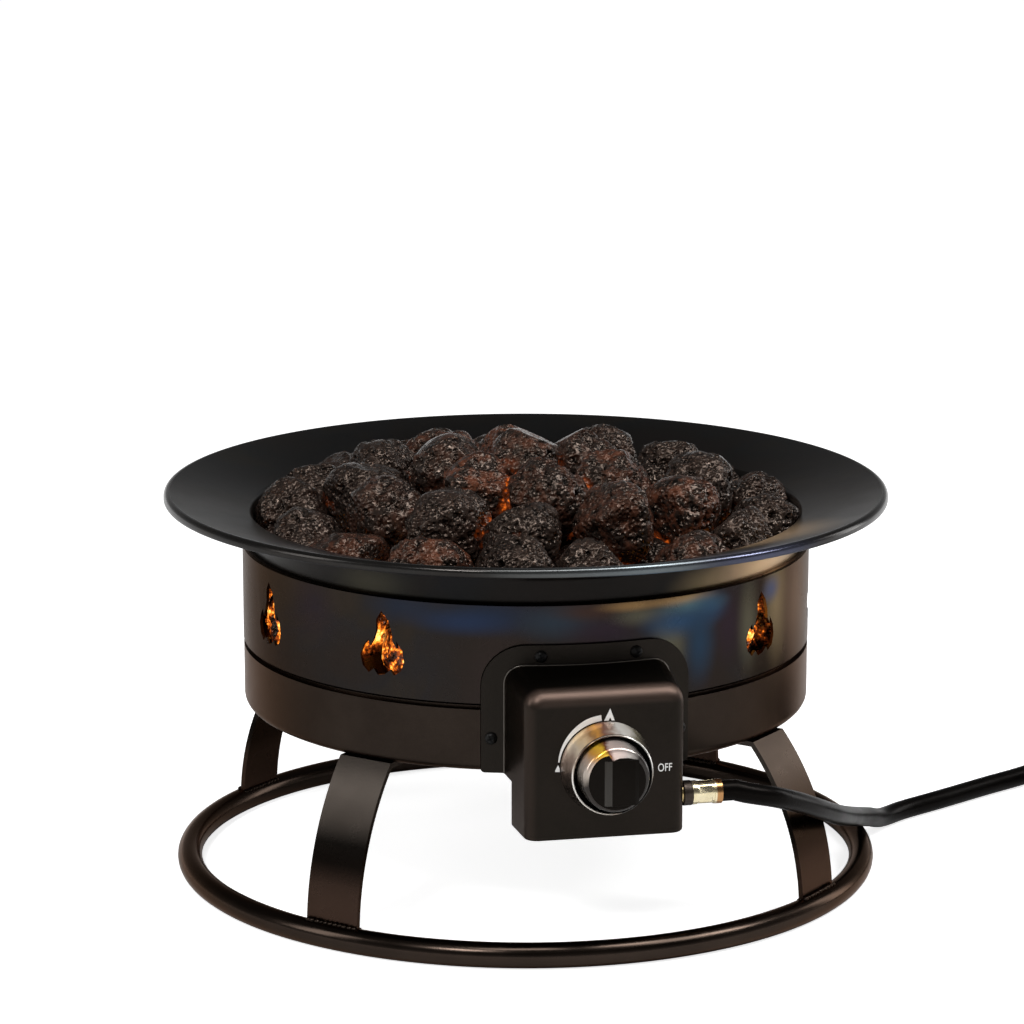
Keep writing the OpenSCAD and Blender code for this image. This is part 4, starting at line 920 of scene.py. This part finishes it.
for step in range(SPRING_TURNS * TURN_STEPS + 1):
    turn = step / TURN_STEPS * math.tau
    along = SPRING_FREE + (SPRING_FIXED - SPRING_FREE) * step / (SPRING_TURNS * TURN_STEPS)
    rounds.append([shape.verts.new((
        (SPRING_R + WIRE_R * math.cos(a)) * math.cos(turn) * MM,
        (along + WIRE_R * math.sin(a)) * MM,
        KNOB_Z + (SPRING_R + WIRE_R * math.cos(a)) * math.sin(turn) * MM))
        for a in (k / WIRE_SIDES * math.tau for k in range(WIRE_SIDES))])
for one, other in zip(rounds, rounds[1:]):
    for k in range(WIRE_SIDES):
        after = (k + 1) % WIRE_SIDES
        shape.faces.new((one[k], one[after], other[after], other[k]))
shape.faces.new(rounds[0])
shape.faces.new(rounds[-1])
coiled_spring = piece("coiled_spring", shape, [zinc_steel], node="stem_spring")
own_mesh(coiled_spring)

# ---- Knob and bezel
# A chrome-plated bezel stands round the knob like a short cone. The knob is a chrome cap with a
# black moulded insert, two finger scoops and a broad raised grip between them.
AXIS = (0, -1, 0)


def chrome(name, ramp_colours):
    """Chrome plate with painted reflections: (degrees clockwise from 12, colour) round the knob."""
    made, tree, shader, where = surface(name)
    spot = lay(tree, "SeparateXYZ", {0: where}).outputs
    clock = maths(tree, "ARCTAN2", spot["X"], maths(tree, "SUBTRACT", spot["Z"], KNOB_Z))
    scuff = cloudy(tree, where, 120.0, 5.0)
    clock = maths(tree, "ADD", clock, ranged(tree, scuff, 0, 1, -0.25, 0.25))
    share = ranged(tree, clock, -math.pi, math.pi)
    feed(tree, shader, {
        "Base Color": shaded(tree, share, [((degrees + 180) / 360, shade)
                                           for degrees, shade in ramp_colours]),
        "Roughness": ranged(tree, scuff, 0.3, 0.7, 0.14, 0.26), "Metallic": 0.55})
    roughen(tree, shader, scuff, 0.05, 0.0002)
    return made


# Painted reflections: amber, white and dark patches round the bezel, its lip and the cap; the
# darkest colour is a painted dark reflection over the lower half
DARK_REFLECTION = (0.022, 0.017, 0.014)
bezel_chrome = chrome("bezel_chrome", [
    (-180, DARK_REFLECTION), (-112, DARK_REFLECTION), (-88, (0.07, 0.05, 0.04)), (-69, (0.45, 0.33, 0.26)),
    (-54, (0.82, 0.68, 0.52)), (-40, (0.86, 0.64, 0.38)), (-29, (0.42, 0.22, 0.09)),
    (-20, (0.74, 0.36, 0.08)),
    (-10, (0.28, 0.13, 0.09)), (0, (0.42, 0.31, 0.25)), (11, (0.98, 0.95, 0.88)),
    (25, (0.95, 0.90, 0.82)), (38, (0.30, 0.27, 0.19)), (54, (0.07, 0.06, 0.05)),
    (90, (0.04, 0.035, 0.03)), (180, DARK_REFLECTION)])
lip_chrome = chrome("lip_chrome", [
    (-180, (0.60, 0.52, 0.44)), (-160, (0.80, 0.74, 0.66)), (-98, (0.84, 0.82, 0.78)),
    (-72, (0.42, 0.34, 0.27)), (-45, (0.09, 0.06, 0.04)), (8, (0.10, 0.085, 0.07)),
    (32, (0.66, 0.64, 0.60)), (78, (0.86, 0.84, 0.80)), (95, (0.34, 0.30, 0.26)), (108, DARK_REFLECTION),
    (164, DARK_REFLECTION), (180, (0.46, 0.38, 0.31))])
groove_painted_shade = coated("groove_painted_shade", (0.002,) * 3, (0.004,) * 3, 0.45, 0.1, 1500)
shape = bmesh.new()
turned(shape, [(5, 0), (28.5, 0), (28.3, 1.2), (25.25, 16.4), (25.0, 17.1), (24.6, 17.4),
               (24.15, 17.25), (23.75, 16.7), (26.8, 2), (5, 2)], 96, (0, FACE_Y, KNOB_Z), AXIS)
# Painted shade: the bezel's inner face takes a black coat
for part in shape.faces:
    middle = part.calc_center_median()
    arm = math.hypot(middle.x, middle.z - KNOB_Z)
    part.material_index = 1 if arm < (27.4 - 3.2 * (FACE_Y - middle.y) / (17 * MM)) * MM else 0
    if middle.y < FACE_Y - 16.5 * MM and arm > 24.3 * MM:
        part.material_index = 2
piece("bezel", shape, [bezel_chrome, groove_painted_shade, lip_chrome], node="knob_bezel")

KNOB_BACK, KNOB_FRONT = -240.5 * MM, -262 * MM
cap_chrome = chrome("cap_chrome", [
    (-180, DARK_REFLECTION), (-100, DARK_REFLECTION), (-84, (0.30, 0.26, 0.22)), (-70, (0.50, 0.43, 0.37)),
    (-56, (0.62, 0.46, 0.36)), (-42, (0.80, 0.40, 0.08)), (-27, (1.0, 0.60, 0.05)),
    (-17, (0.20, 0.06, 0.03)), (-9, (0.74, 0.58, 0.52)), (11, (0.60, 0.50, 0.46)),
    (26, (0.46, 0.42, 0.39)), (44, (0.035, 0.03, 0.027)), (90, (0.018, 0.015, 0.013)),
    (180, DARK_REFLECTION)])
shape = bmesh.new()
turned(shape, [(4.5, 0.1), (21.75, 0), (20.75, 17.5), (20.2, 19.6), (19.3, 20.9), (18.0, 21.4),
               (16.5, 21.5), (4.5, 21.5)], 96, (0, KNOB_BACK, KNOB_Z), AXIS)
piece("knob_cap", shape, [cap_chrome], "knob", "knob_ring")

# The insert's outline has a finger scoop on each side, and the grip stands between the scoops
INSERT_R, SCOOP_R = 17.6, (12.5, 16.6)
insert = [(-INSERT_R, -1)]
insert += [(-INSERT_R + SCOOP_R[0] * (1 - math.cos(math.radians(a))),
            -1 + SCOOP_R[1] * math.sin(math.radians(a))) for a in range(0, 91, 10)]
insert += [(-3.6, 13.6), (-2.6, 11.2), (-1.4, 12.6), (1.5, 13.6), (6.5, 13.6), (11.5, 12.4)]
insert += [(INSERT_R * math.cos(math.radians(a)), INSERT_R * math.sin(math.radians(a)) - 0.8)
           for a in range(34, -175, -8)]
GRIP = [(-8.2, 0.4), (-6.2, 1.2), (-3.4, 1.5), (10.5, 1.5), (13.5, 0.4)]
GRIP_LOW, GRIP_LENGTH = 15.6, 28
knob_black = coated("knob_black", (0.0034, 0.0028, 0.0023), (0.0058, 0.0048, 0.004), 0.3, 0.06,
                    1600, 0.08, edge_tint=(1.0, 0.86, 0.75))
ridge_highlight = coated("ridge_highlight", (0.020, 0.017, 0.0135), (0.034, 0.029, 0.0235), 0.3, 0.3, 1600,
                    0.08)
shape = bmesh.new()
pulled_out(shape, [(x * MM, KNOB_FRONT - 0.02 * MM, KNOB_Z + z * MM) for x, z in insert],
           (0, -0.5 * MM, 0))
rounded_off(shape, edges_where(shape, lambda c: c.y < KNOB_FRONT - 0.3 * MM), 0.3, 2)
bar = bmesh.new()
pulled_out(bar, [(x * MM, KNOB_FRONT - y * MM, KNOB_Z - GRIP_LOW * MM) for x, y in GRIP],
           (0, 0, GRIP_LENGTH * MM))
rounded_off(bar, bar.edges[:], 0.35, 2)
# Painted highlight: the grip's left-facing slopes take a paler coat
for part in bar.faces:
    part.material_index = 1 if -0.9 < part.normal.x < -0.05 and part.normal.y < -0.3 else 0
join(shape, bar)
piece("knob_insert", shape, [knob_black, ridge_highlight], "knob", "knob_grip", 25)

# ---- Gas inlet
# Outside the box's right wall a blackened collar holds the hose's crimped brass ferrule, whose
# last band is coppery where the crimp has squeezed it.
collar_black = bare_metal("collar_black", (0.035, 0.028, 0.024), (0.07, 0.055, 0.045), 0.35, 200)
crisp("hose_collar", "inlet_collar", collar_black, 0.8, segments=3)
ferrule_brass, tree, shader, where = surface("ferrule_brass")
along = lay(tree, "SeparateXYZ", {0: where}).outputs["X"]
copper = ranged(tree, along, 71.0 * MM, 71.6 * MM)
brushed = cloudy(tree, where, 240.0, 4.0)
pale = blend_colour(tree, brushed, (0.66, 0.55, 0.32), (0.88, 0.80, 0.58))
feed(tree, shader, {"Base Color": blend_colour(tree, copper, pale, (0.42, 0.22, 0.09)),
                    "Roughness": ranged(tree, brushed, 0, 1, 0.16, 0.3), "Metallic": 1})
roughen(tree, shader, brushed, 0.06, 0.0002)
crisp("hose_ferrule", "near_ferrule", ferrule_brass, 0.25)
